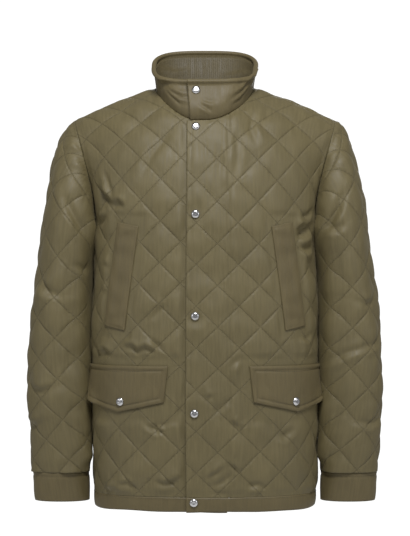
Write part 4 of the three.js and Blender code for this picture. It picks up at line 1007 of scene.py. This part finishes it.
COLLAR_FOLDS = [
    (2.2, 3.6, (COLLAR_FRONT + 12, 30), (COLLAR_FRONT - 2, 24), (COLLAR_FRONT - 16, 16)),
    (1.6, 3.2, (COLLAR_FRONT + 6, 38), (COLLAR_FRONT - 10, 34), (COLLAR_FRONT - 26, 33)),
    (2.2, 5.0, (COLLAR_FRONT - 120, 44), (COLLAR_FRONT - 84, 28), (COLLAR_FRONT - 56, 24)),
    (1.6, 4.0, (COLLAR_FRONT - 110, 24), (COLLAR_FRONT - 84, 14), (COLLAR_FRONT - 60, 12)),
    (2.4, 4.0, (COLLAR_UNDER + 28, 44), (COLLAR_UNDER + 52, 34), (COLLAR_UNDER + 86, 30)),
    (2.0, 3.8, (COLLAR_UNDER + 34, 30), (COLLAR_UNDER + 60, 20), (COLLAR_UNDER + 92, 24)),
    (2.0, 4.6, (COLLAR_UNDER + 70, 48), (COLLAR_UNDER + 104, 30), (COLLAR_UNDER + 118, 12)),
    (2.0, 5.0, (210, 40), (240, 30), (262, 34)),
    (1.8, 5.0, (300, 22), (330, 30), (356, 26)),
    (1.8, 5.0, (372, 44), (392, 36), (420, 38)),
]


def collar_height(along, up):
    moved = folds(along, up, COLLAR_FOLDS) + 0.5 * wrinkles(along, 1.5 * up, 61)
    return moved * np.sin(np.pi * np.clip(up / 62, 0.04, 1)) ** 0.6


def sweep(name, places, profile):
    """A closed tube: the ring of (up, offset) pairs from profile(length) at each place."""
    lengths = np.interp(places, COLLAR_PLACES, COLLAR_TABLE[:, 12])
    pairs = np.stack([profile(length) for length in lengths])
    along = np.repeat(places[:, None], pairs.shape[1], 1)
    point, normal, _, _ = frame_of(collar_surface, along, pairs[..., 0], -1)
    lift = pairs[..., 1] + collar_height(along, pairs[..., 0])
    points = point + normal * lift[..., None]
    count, ring = along.shape
    index = np.arange(count * ring).reshape(count, ring)
    turned = np.roll(index, -1, axis=1)
    quads = np.stack([index[:-1], turned[:-1], turned[1:], index[1:]], -1).reshape(-1, 4)
    around = np.concatenate([[0], np.cumsum(np.hypot(*np.diff(pairs[0], axis=0).T))])
    flat = np.stack([along, np.broadcast_to(around, along.shape)], -1).reshape(-1, 2)
    triangles = np.concatenate([quads[:, :3], quads[:, [0, 2, 3]]])
    for loop, way in ((index[0], 1), (index[-1], -1)):
        fan = np.stack([np.full(ring - 2, loop[0]), loop[1:-1], loop[2:]], -1)
        triangles = np.concatenate([triangles, fan[:, ::-way]])
    corners = points.reshape(-1, 3)[triangles]
    volume = np.einsum("ij,ij->", corners[:, 0], np.cross(corners[:, 1], corners[:, 2]))
    if volume < 0:
        triangles = triangles[:, ::-1]
    piece = mesh_object(name, points.reshape(-1, 3), triangles, flat)
    print(name, "triangles", len(triangles))
    return piece


def collar_profile(length):
    """Up the outside, round the rolled edge, and down the inside of the band."""
    plain = length - 2 * COLLAR_ROLL - 1
    up = np.linspace(0, plain, 20)
    swell = np.interp(up / plain, [0, 0.2, 0.45, 0.7, 1], [0, 0.5, 1, 0.9, 0])
    turn = np.radians(np.linspace(-50, 230, 22))
    middle = -COLLAR_WALL / 2
    roll_up = length - COLLAR_ROLL + COLLAR_ROLL * np.sin(turn)
    roll_out = middle + COLLAR_ROLL * np.cos(turn)
    inside = np.linspace(plain, 0, 12)
    return np.stack([np.r_[up, roll_up, inside], np.r_[swell, roll_out, 0 * inside - COLLAR_WALL]], -1)


def facing_profile(length):
    plain = length - 2 * COLLAR_ROLL - 1
    up = np.linspace(plain - 1, 0, 12)
    near = -COLLAR_WALL - 0.4
    return np.stack([np.r_[up, up[::-1]], np.r_[0 * up + near, 0 * up + near - 1.2]], -1)


collar = sweep("collar_band", np.linspace(0, COLLAR_LENGTH, 240), collar_profile)
facing_end = COLLAR_FRONT - COLLAR_UNDER - 4
facing = sweep("collar_inside", np.linspace(2, facing_end, 200), facing_profile)
around = (COLLAR_LENGTH * MM, COLLAR_CUT * MM)
SHEETS.append((collar, around, around[0] * around[1]))
around = ((facing_end - 2) * MM, FACING_CUT * MM)
SHEETS.append((facing, around, around[0] * around[1]))

# %% [markdown]
# ## Pocket flaps and welts
# A flap is two layers of cloth turned out and stitched eight millimetres from the edge, which
# leaves a soft ridge all round. Its lower edge comes to a low point, and its outer corner stands
# away from the body. A welt is a narrow strip that slants along the upper pocket's mouth.

# %% Flaps and welts
APPLIED_CLEAR, APPLIED_WALL = 1.1, 2
FLAP_STITCH = 8
TIP_SHARE = (FLAP["half"] + FLAP["tip"]) / (2 * FLAP["half"])
WELT_STITCH = 3
WELT_SPAN = (36, 174)  # its breadth and height, for the place of its stitches
HEM_STITCH = 2.5  # the hem's line of stitches below its seam
FLAP_GRID, WELT_GRID = (96, 42), (20, 92)  # columns and rows


def flap_place(sign, s, t):
    """Flat place on the front of the flap's point (s, t), from its lower inner corner."""
    side = FLAP["top"] - FLAP["drop"]
    bottom = side - FLAP["point"] * np.where(s < TIP_SHARE, s / TIP_SHARE, (1 - s) / (1 - TIP_SHARE))
    middle = FLAP_MIDDLE[sign]
    x = mix(middle - FLAP["half"], middle + FLAP["half"], s) + FLAP["slant"] * (1 - t) * (1 - s)
    return x, mix(bottom, FLAP["top"], t)


def welt_place(sign, s, t):
    left = mix(WELT["low_inner"], WELT["top_inner"], t)
    right = mix(WELT["low_outer"], WELT["top_outer"], t)
    return mix(left, right, s), mix(WELT["bottom"], WELT["top"], t) + WELT["rise"] * s


def applied_grid(place, sign, columns, rows):
    s, t = np.meshgrid(np.linspace(0, 1, columns + 1), np.linspace(0, 1, rows + 1))
    flat = np.stack(place(sign, s, t), -1).reshape(-1, 2)
    index = np.arange(flat.shape[0]).reshape(rows + 1, columns + 1)
    a, b, c, d = index[:-1, :-1], index[:-1, 1:], index[1:, 1:], index[1:, :-1]
    triangles = np.concatenate([np.stack(k, -1).reshape(-1, 3) for k in ((a, b, c), (a, c, d))])
    return flat, triangles


def outline_of(place, sign, steps=24):
    run, zero = np.linspace(0, 1, steps), np.zeros(steps)
    sides = ((run, zero), (zero + 1, run), (run[::-1], zero + 1), (zero, run[::-1]))
    return np.concatenate([np.stack(place(sign, s, t), -1)[:-1] for s, t in sides])


def closed(path):
    return np.concatenate([path, path[:1]])


def flap_skin(sign):
    outline = closed(outline_of(flap_place, sign))
    middle = FLAP_MIDDLE[sign]

    def skin(x, y):
        edge = path_distance(outline, x, y)[0]
        ridge = 0.9 * np.sin(np.pi * np.clip(edge / FLAP_STITCH, 0, 1)) ** 0.7
        groove = -1.3 * np.exp(-(((edge - FLAP_STITCH) / 1.3) ** 2))
        inside = smoothstep(FLAP_STITCH, FLAP_STITCH + 9, edge)
        lines = 0.7 * quilting(x, y + 20, PHASES["front_left"], 5) * inside
        snap = np.hypot(x - middle - FLAP["tip"], y - (FLAP["top"] - FLAP["drop"]))
        dimple = -0.7 * np.exp(-((snap / 12) ** 2))
        rough = 0.35 * wrinkles(x, y, 71 + sign) * smoothstep(0, 12, edge)
        away = smoothstep(middle + 0.45 * FLAP["half"], middle + FLAP["half"], x)
        away = FLAP["flare"] * away * np.maximum((FLAP["top"] - y) / FLAP["drop"], 0) ** 1.3
        lift = APPLIED_CLEAR + APPLIED_WALL + ridge + groove + lines + dimple + rough
        point, normal, along, rise = body_frame("front", sign * x, y)
        lift = lift + (fly_step(x) if sign > 0 else 0)
        place = point + normal * lift[..., None] + stack(0.25 * sign * away, -away, 0 * away)
        return place, normal

    return skin


def welt_skin(sign):
    outline = closed(outline_of(welt_place, sign))

    def skin(x, y):
        edge = path_distance(outline, x, y)[0]
        groove = -0.9 * np.exp(-(((edge - WELT_STITCH) / 1.1) ** 2))
        ridge = 0.5 * np.sin(np.pi * np.clip(edge / 17, 0, 1)) ** 0.6
        cross = 0.5 * np.sin(y / 5.3 + 1.6 * np.sin(y / 23 + x / 31)) * smoothstep(2, 8, edge)
        rough = 0.5 * wrinkles(x, y, 75 + sign) * smoothstep(0, 8, edge)
        lift = APPLIED_CLEAR + APPLIED_WALL - 0.8 + groove + ridge + cross + rough
        point, normal, along, rise = body_frame("front", sign * x, y)
        return point + normal * (lift + (fly_step(x) if sign > 0 else 0))[..., None], normal

    return skin


for name, sign in (("left", 1), ("right", -1)):
    for kind, place, skin, size in (
        ("flap", flap_place, flap_skin(sign), FLAP_GRID),
        ("welt", welt_place, welt_skin(sign), WELT_GRID),
    ):
        flat, triangles = applied_grid(place, sign, *size)
        SKINS[f"{kind}_{name}"] = skin
        wall = APPLIED_WALL if kind == "flap" else 1.2
        cloth_piece(f"{kind}_{name}_cloth", flat, triangles, skin, sign < 0, wall)

# %% [markdown]
# ## Snaps
# Each snap is a pressed cap of bright metal: a flat rim, a rounded shoulder and a dome with a
# shallow dish in its middle. A profile turned about the axis of the solid cap gives that.

# %% Snap caps
CAP_DISH = [(0, 3.3), (1.2, 3.34), (2.6, 3.5)]  # radius and height from the middle out
CAP_DOME = [(3.6, 3.5), (4.9, 3.1), (6.1, 2.2), (6.8, 1.2)]
CAP_RIM = [(7.3, 0.7), (7.3, 0.1), (6.6, -0.3)]
CAP_PROFILE = np.array([*CAP_DISH, *CAP_DOME, *CAP_RIM])
CAP_SIDES = 40


def snap_cap(name, point, normal):
    """The cap's profile turned about the cloth's normal, seated where the solid cap is."""
    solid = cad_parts[name]
    corners = np.array([vertex.co for vertex in solid.data.vertices]) / MM
    seat = ((corners - point) @ normal).min()
    side = unit(np.cross([0, 0, 1], normal))
    rise = np.cross(normal, side)
    turn = np.linspace(0, 2 * np.pi, CAP_SIDES, endpoint=False)
    ring = side * np.cos(turn)[:, None] + rise * np.sin(turn)[:, None]
    rings = [point + normal * (seat + up) + ring * radius for radius, up in CAP_PROFILE[1:]]
    points = np.concatenate([[point + normal * (seat + CAP_PROFILE[0, 1])], *rings])
    here = 1 + np.arange(CAP_SIDES)
    ahead = 1 + (np.arange(CAP_SIDES) + 1) % CAP_SIDES
    faces = [np.stack([0 * here, here, ahead], -1)]
    for k in range(len(rings) - 1):
        a, b = here + k * CAP_SIDES, ahead + k * CAP_SIDES
        faces += [np.stack([a, a + CAP_SIDES, b + CAP_SIDES], -1), np.stack([a, b + CAP_SIDES, b], -1)]
    last = len(points)
    points = np.concatenate([points, [point + normal * (seat - 0.3)]])
    shift = (len(rings) - 1) * CAP_SIDES
    faces.append(np.stack([here + shift, 0 * here + last, ahead + shift], -1))
    return mesh_object(f"{name}_cap", points, np.concatenate(faces))


SNAPS = []
for k, (x, y) in enumerate(SNAP_ROWS):
    point, normal, _, _ = body_frame("front", np.array(float(x)), np.array(float(y)))
    SNAPS.append((f"snap_front_{k + 1}", snap_cap(f"snap_front_{k + 1}", point, normal)))
for name, sign in (("left", 1), ("right", -1)):
    x, y = sign * (FLAP_MIDDLE[sign] + FLAP["tip"]), FLAP["top"] - FLAP["drop"]
    point, normal, _, _ = body_frame("front", np.array(float(x)), np.array(float(y)))
    SNAPS.append((f"snap_flap_{name}", snap_cap(f"snap_flap_{name}", point, normal)))
along = np.array([COLLAR_LENGTH - COLLAR_SNAP["back"]])
point, normal, _, _ = frame_of(collar_surface, along, np.array([float(COLLAR_SNAP["up"])]), -1)
SNAPS.append(("snap_collar", snap_cap("snap_collar", point[0], normal[0])))
print("snaps:", len(SNAPS))

# %% [markdown]
# ## Lines of stitches
# Topstitching is what makes a garment look sewn. Every stitch is a small lozenge of eight faces
# that lies on the cloth, and each line is one mesh.

# %% Stitches
STITCH, STITCH_GAP, THREAD = 2.7, 1.0, 0.5
UPPER_FACES = [(0, 2, 5), (2, 1, 5), (1, 3, 5), (3, 0, 5)]
LOZENGE = np.array([*UPPER_FACES, (2, 0, 4), (1, 2, 4), (3, 1, 4), (0, 3, 4)])


def spaced(path, pitch):
    """Places a fixed pitch apart along a flat path."""
    path = np.asarray(path, float)
    run = arc_lengths(path[:, 0], path[:, 1])
    places = np.arange(pitch / 2, run[-1], pitch)
    return np.stack([np.interp(places, run, path[:, k]) for k in (0, 1)], -1)


def stitches(name, lines, sunk=0.15):
    """Lozenges along each line of (skin, flat path): long points along it, others across and up."""
    points, faces, count = [], [], 0
    for skin, path in lines:
        middle = spaced(path, STITCH + STITCH_GAP)
        ahead = np.vstack([middle[1:], 2 * middle[-1:] - middle[-2:-1]])
        behind = np.vstack([2 * middle[:1] - middle[1:2], middle[:-1]])
        here, normal = skin(middle[:, 0], middle[:, 1])
        step = (ahead - behind) / 8
        run = unit(skin(*(middle + step).T)[0] - skin(*(middle - step).T)[0])
        wide = unit(np.cross(normal, run))
        base = here - normal * sunk
        half, side = run * STITCH / 2, wide * THREAD
        corners = [base - half, base + half, base - side, base + side]
        corners += [base - normal * THREAD, base + normal * (THREAD + 0.25)]
        points.append(np.stack(corners, 1).reshape(-1, 3))
        faces.append((LOZENGE + 6 * (count + np.arange(len(middle)))[:, None, None]).reshape(-1, 3))
        count += len(middle)
    piece = mesh_object(name, np.concatenate(points), np.concatenate(faces))
    print(name, "stitches", count)
    return piece


def inset(place, sign, margin, wide, tall, sides="blrt"):
    """Paths that run a margin inside a flap or welt, on the sides named bottom, left, right, top."""
    run = np.linspace(0, 1, 60)
    near_s, near_t = margin / wide, margin / tall
    inner, up = mix(near_s, 1 - near_s, run), mix(near_t, 1 - near_t, run)
    lines = {"b": (inner, 0 * run + near_t), "t": (inner, 0 * run + 1 - near_t)}
    lines.update({"l": (0 * run + near_s, up), "r": (0 * run + 1 - near_s, up)})
    return [np.stack(place(sign, *lines[side]), -1) for side in sides]


body_top = NECK_UP["front"] - 3
body_foot = BAND_HEIGHT + 3
STITCHING = []
for name, x, top in (
    ("stitching_fly_edge", FLY_EDGE_STITCH - FLY_LAP, body_top),
    ("stitching_fly", FLY_STITCH, body_top + 14),
):
    STITCHING.append(stitches(name, [(SKINS["front_left"], [(x, body_foot), (x, top)])]))
for name, sign in (("left", 1), ("right", -1)):
    skin = SKINS[f"flap_{name}"]
    paths = inset(flap_place, sign, FLAP_STITCH, 2 * FLAP["half"], FLAP["drop"])
    STITCHING.append(stitches(f"stitching_flap_{name}", [(skin, path) for path in paths]))
    skin = SKINS[f"welt_{name}"]
    paths = inset(welt_place, sign, WELT_STITCH, *WELT_SPAN)
    STITCHING.append(stitches(f"stitching_welt_{name}", [(skin, path) for path in paths]))
    reach = float(cuff_edge(-CUFF_STITCH)) - 2
    line = np.stack([np.linspace(-reach, reach, 200), np.full(200, -CUFF_STITCH)], -1)
    STITCHING.append(stitches(f"stitching_cuff_{name}", [(SKINS[f"cuff_{name}"], line)]))
hem_lines = []
for name, low in (("hem_front_left", -FLY_LAP + 2), ("hem_front_right", -UNDERLAP + 2), ("hem_back", 0)):
    reach = QUARTER_LENGTH["back" if name == "hem_back" else "front"] - 2
    low = -reach if name == "hem_back" else low
    line = np.stack([np.linspace(low, reach, 200), np.full(200, BAND_HEIGHT - HEM_STITCH)], -1)
    hem_lines.append((SKINS[name], line))
STITCHING.append(stitches("stitching_hem", hem_lines))

# %% [markdown]
# ## Finishes
# The cloth is a plain-woven polyester with a soft sheen. Faint upright streaks in its colour are
# partly slightly uneven yarns and partly painted sheen, and those, more than the weave, are what the
# eye sees from two metres away. The thread of the quilting sinks in, so each stitch line is a narrow
# groove with small puckers, and the colour along it is darkened as painted shade.

# %% Adding nodes
CLOTH_OLIVE, PLAIN_OLIVE, FACING_OLIVE = "#5F563A", "#5A5035", "#50472E"
# The thread's colour is darker than the cloth's, as painted shade of the grooves its stitches sink into.
THREAD_PAINTED_SHADE_OLIVE, SNAP_SILVER = "#3C3525", "#C9C9CB"


def add_node(tree, kind, inputs=None, **settings):
    """Adds one node: settings are its properties, inputs are values or sockets to link."""
    node = tree.nodes.new(kind)
    for key, value in settings.items():
        setattr(node, key, value)
    for key, value in (inputs or {}).items():
        if isinstance(value, bpy.types.NodeSocket):
            tree.links.new(value, node.inputs[key])
        else:
            node.inputs[key].default_value = value
    return node


def times(colour, factor):
    return (*(min(1.0, part * factor) for part in colour[:3]), 1.0)


# %% Woven polyester
WEAVE = 1.5  # mm: real yarns are about 0.3 mm apart, drawn coarser so that they show at all
STREAK_WIDE, STREAK_TALL = 3.2, 42  # mm
BLOTCH = 90  # mm
LINE_HALF, LINE_EDGE = 0.35, 1.1  # mm either side of a quilting line: full groove, no groove
PUCKER, PUCKER_REACH = 4.5, 9  # mm
STITCHES_ON_SIDE = 14  # along one side of a diamond
DOT = 2.4  # mm between the dots of the facing's weave
DIAMOND_SIDE = DIAMOND / np.sqrt(2)


def noise(tree, place, wide, tall, detail=2.0):
    """Noise whose features are wide by tall mm."""
    scale = (1 / wide / MM, 1 / tall / MM, 1)
    place = add_node(tree, "ShaderNodeMapping", {"Vector": place, "Scale": scale}).outputs[0]
    grain = {"Vector": place, "Scale": 1.0, "Detail": detail}
    return add_node(tree, "ShaderNodeTexNoise", grain).outputs["Fac"]


def band(tree, value, start, end, low, high):
    """Value from start to end becomes low to high, easing at both ends."""
    return add_node(
        tree,
        "ShaderNodeMapRange",
        {"Value": value, "From Min": start, "From Max": end, "To Min": low, "To Max": high},
        interpolation_type="SMOOTHSTEP",
    ).outputs[0]


def two(tree, operation, a, b):
    return add_node(tree, "ShaderNodeMath", {0: a, 1: b}, operation=operation).outputs[0]


def quilting_lines(tree, place):
    """Distance to the nearest stitch line in sides of a diamond, and a wave of the stitches."""
    runs = []
    for way in (1, -1):
        slant = (1 / (DIAMOND * MM), way / (DIAMOND * MM), 0)
        run = add_node(tree, "ShaderNodeVectorMath", {0: place, 1: slant}, operation="DOT_PRODUCT")
        runs.append(run.outputs["Value"])
    near = [two(tree, "PINGPONG", run, 0.5) for run in runs]
    first = two(tree, "LESS_THAN", near[0], near[1])
    along = add_node(tree, "ShaderNodeMix", {"Factor": first, "A": runs[0], "B": runs[1]}).outputs[0]
    beat = two(tree, "PINGPONG", two(tree, "MULTIPLY", along, float(STITCHES_ON_SIDE)), 0.5)
    return two(tree, "MINIMUM", *near), band(tree, beat, 0.08, 0.2, 0.0, 1.0)


def blend(tree, factor, a, b):
    """Colour between a and b."""
    inputs = {"Factor": factor, "A": a, "B": b}
    return add_node(tree, "ShaderNodeMix", inputs, data_type="RGBA").outputs["Result"]


def woven_cloth(name, colour, quilted=False, dotted=False):
    material = bpy.data.materials.new(name)
    material.use_nodes = True
    tree = material.node_tree
    shader = tree.nodes["Principled BSDF"]
    place = add_node(tree, "ShaderNodeUVMap", uv_map="cloth").outputs[0]
    base = linear(colour)
    yarn_and_sheen_streaks = noise(tree, place, STREAK_WIDE, STREAK_TALL, 3.0)
    blotches = noise(tree, place, BLOTCH, BLOTCH)
    # Colour follows the upright streaks, partly uneven yarn and partly painted sheen, and broad blotches of
    # random tone.
    fine, broad = band(tree, yarn_and_sheen_streaks, 0.32, 0.68, 0.0, 0.6), band(tree, blotches, 0.3, 0.7, 0.0, 0.4)
    shade = blend(tree, two(tree, "ADD", fine, broad), times(base, 0.88), times(base, 1.12))
    wave = {"Scale": 2 * np.pi / 20 / (WEAVE * MM), "Distortion": 0.6}
    warp = add_node(tree, "ShaderNodeTexWave", {"Vector": place, **wave}, bands_direction="X").outputs["Fac"]
    weft = add_node(tree, "ShaderNodeTexWave", {"Vector": place, **wave}, bands_direction="Y").outputs["Fac"]
    height = two(tree, "MULTIPLY", two(tree, "ADD", warp, weft), 0.03 * MM)
    height = two(tree, "ADD", height, two(tree, "MULTIPLY", yarn_and_sheen_streaks, 0.25 * MM))
    if quilted:
        near, dashes = quilting_lines(tree, place)
        groove = band(tree, near, LINE_HALF / DIAMOND_SIDE, LINE_EDGE / DIAMOND_SIDE, 1.0, 0.0)
        stitched = two(tree, "MULTIPLY", groove, dashes)
        around = band(tree, near, 0.0, PUCKER_REACH / DIAMOND_SIDE, 1.0, 0.0)
        puckers = two(tree, "MULTIPLY", noise(tree, place, PUCKER, PUCKER), around)
        height = two(tree, "ADD", height, two(tree, "MULTIPLY", puckers, 0.9 * MM))
        height = two(tree, "SUBTRACT", height, two(tree, "MULTIPLY", stitched, 0.45 * MM))
        # Painted shade: the colour is darkened along each quilting line, where the sunken stitches would lie
        # in shade.
        shade = blend(tree, two(tree, "MULTIPLY", groove, 0.26), shade, times(base, 0.45))
    if dotted:
        lattice = {"Vector": place, "Scale": 1 / (DOT * MM), "Randomness": 0.0}
        holes = add_node(tree, "ShaderNodeTexVoronoi", lattice)
        dot = band(tree, holes.outputs["Distance"], 0.18, 0.34, 1.0, 0.0)
        height = two(tree, "SUBTRACT", height, two(tree, "MULTIPLY", dot, 0.3 * MM))
        shade = blend(tree, two(tree, "MULTIPLY", dot, 0.45), shade, times(base, 0.5))
    bump = add_node(tree, "ShaderNodeBump", {"Height": height, "Strength": 1.0, "Distance": 1.0})
    rough = band(tree, yarn_and_sheen_streaks, 0.3, 0.7, 0.5, 0.64)
    tree.links.new(shade, shader.inputs["Base Color"])
    tree.links.new(rough, shader.inputs["Roughness"])
    tree.links.new(bump.outputs[0], shader.inputs["Normal"])
    shader.inputs["IOR"].default_value = 1.5
    shader.inputs["Specular IOR Level"].default_value = 0.38
    shader.inputs["Sheen Weight"].default_value = 0.12
    shader.inputs["Sheen Roughness"].default_value = 0.45
    shader.inputs["Sheen Tint"].default_value = linear("#B4AA90")
    return material


quilted_cloth = woven_cloth("quilted_polyester", CLOTH_OLIVE, quilted=True)
plain_cloth = woven_cloth("plain_polyester", PLAIN_OLIVE)
facing_cloth = woven_cloth("dotted_facing", FACING_OLIVE, dotted=True)

# %% [markdown]
# The sewing thread is coloured darker than the cloth, as painted shade for the grooves that its
# stitches sink into. The snaps are brass plated with nickel: a bright metal, so its look comes from what it
# mirrors.


# %% Thread and metal
def plain_finish(name, colour, metallic, roughness, grain, depth):
    """A finish of one colour with fine grain: grain in mm, and depth of its bump in mm."""
    material = bpy.data.materials.new(name)
    material.use_nodes = True
    tree = material.node_tree
    shader = tree.nodes["Principled BSDF"]
    place = add_node(tree, "ShaderNodeTexCoord").outputs["Object"]
    base = linear(colour)
    fleck = add_node(tree, "ShaderNodeTexNoise", {"Vector": place, "Scale": 1 / (grain * MM), "Detail": 2.0})
    shade = blend(tree, fleck.outputs["Fac"], times(base, 0.9), times(base, 1.1))
    height = two(tree, "MULTIPLY", fleck.outputs["Fac"], depth * MM)
    bump = add_node(tree, "ShaderNodeBump", {"Height": height, "Strength": 1.0, "Distance": 1.0})
    rough = band(tree, fleck.outputs["Fac"], 0.3, 0.7, roughness - 0.04, roughness + 0.04)
    tree.links.new(shade, shader.inputs["Base Color"])
    tree.links.new(rough, shader.inputs["Roughness"])
    tree.links.new(bump.outputs[0], shader.inputs["Normal"])
    shader.inputs["Metallic"].default_value = metallic
    return material


# Painted shade: the thread is coloured far darker than the cloth, standing in for the shade in its stitch
# grooves.
sewing_thread = plain_finish("sewing_thread", THREAD_PAINTED_SHADE_OLIVE, 0.0, 0.55, 0.6, 0.05)
nickel_plate = plain_finish("nickel_plate", SNAP_SILVER, 1.0, 0.2, 1.5, 0.004)

# %% [markdown]
# ## The studio
# A jacket on a hidden form hangs at the height of a person's shoulders, so the floor is well
# below it. It is a pale matt disc, and white paper all round fills the rest of the view.

# %% Floor
FLOOR_Z, FLOOR_RADIUS, FLOOR_SIDES = -1500, 4800, 96
turn = np.linspace(0, 2 * np.pi, FLOOR_SIDES, endpoint=False)
rim = stack(FLOOR_RADIUS * np.cos(turn), FLOOR_RADIUS * np.sin(turn), FLOOR_Z)
points = np.concatenate([[[0, 0, FLOOR_Z]], rim])
here = np.arange(FLOOR_SIDES)
floor = mesh_object("floor", points, np.stack([0 * here, 1 + here, 1 + (here + 1) % FLOOR_SIDES], -1))
floor.data.materials.append(plain_finish("matt_paint", "#F4F4F3", 0.0, 0.9, 30, 0.01))

# %% [markdown]
# ## Finishes and ties
# Each piece gets its finish and is tied to the model's root in place of the solid that it replaces,
# which is hidden; the cloth pieces come from the list that holds the size each was cut to.

# %% Finishes and ties
QUILTED = ("front", "back", "sleeve")
for piece, flat_size, area in SHEETS:
    node = piece.name.rsplit("_", 1)[0]
    node = {"collar_band": "collar", "collar_inside": "collar_facing"}.get(piece.name, node)
    if node.startswith(QUILTED):
        finish, slot = quilted_cloth, "quilted_cloth"
    elif node == "collar_facing":
        finish, slot = facing_cloth, "facing_cloth"
    else:
        finish, slot = plain_cloth, "plain_cloth"
    piece.data.materials.append(finish)
    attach(piece, "root")
    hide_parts(node)
for node, piece in SNAPS:
    piece.data.materials.append(nickel_plate)
    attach(piece, "root")
    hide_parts(node)
for piece in STITCHING:
    piece.data.materials.append(sewing_thread)
    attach(piece, "root")
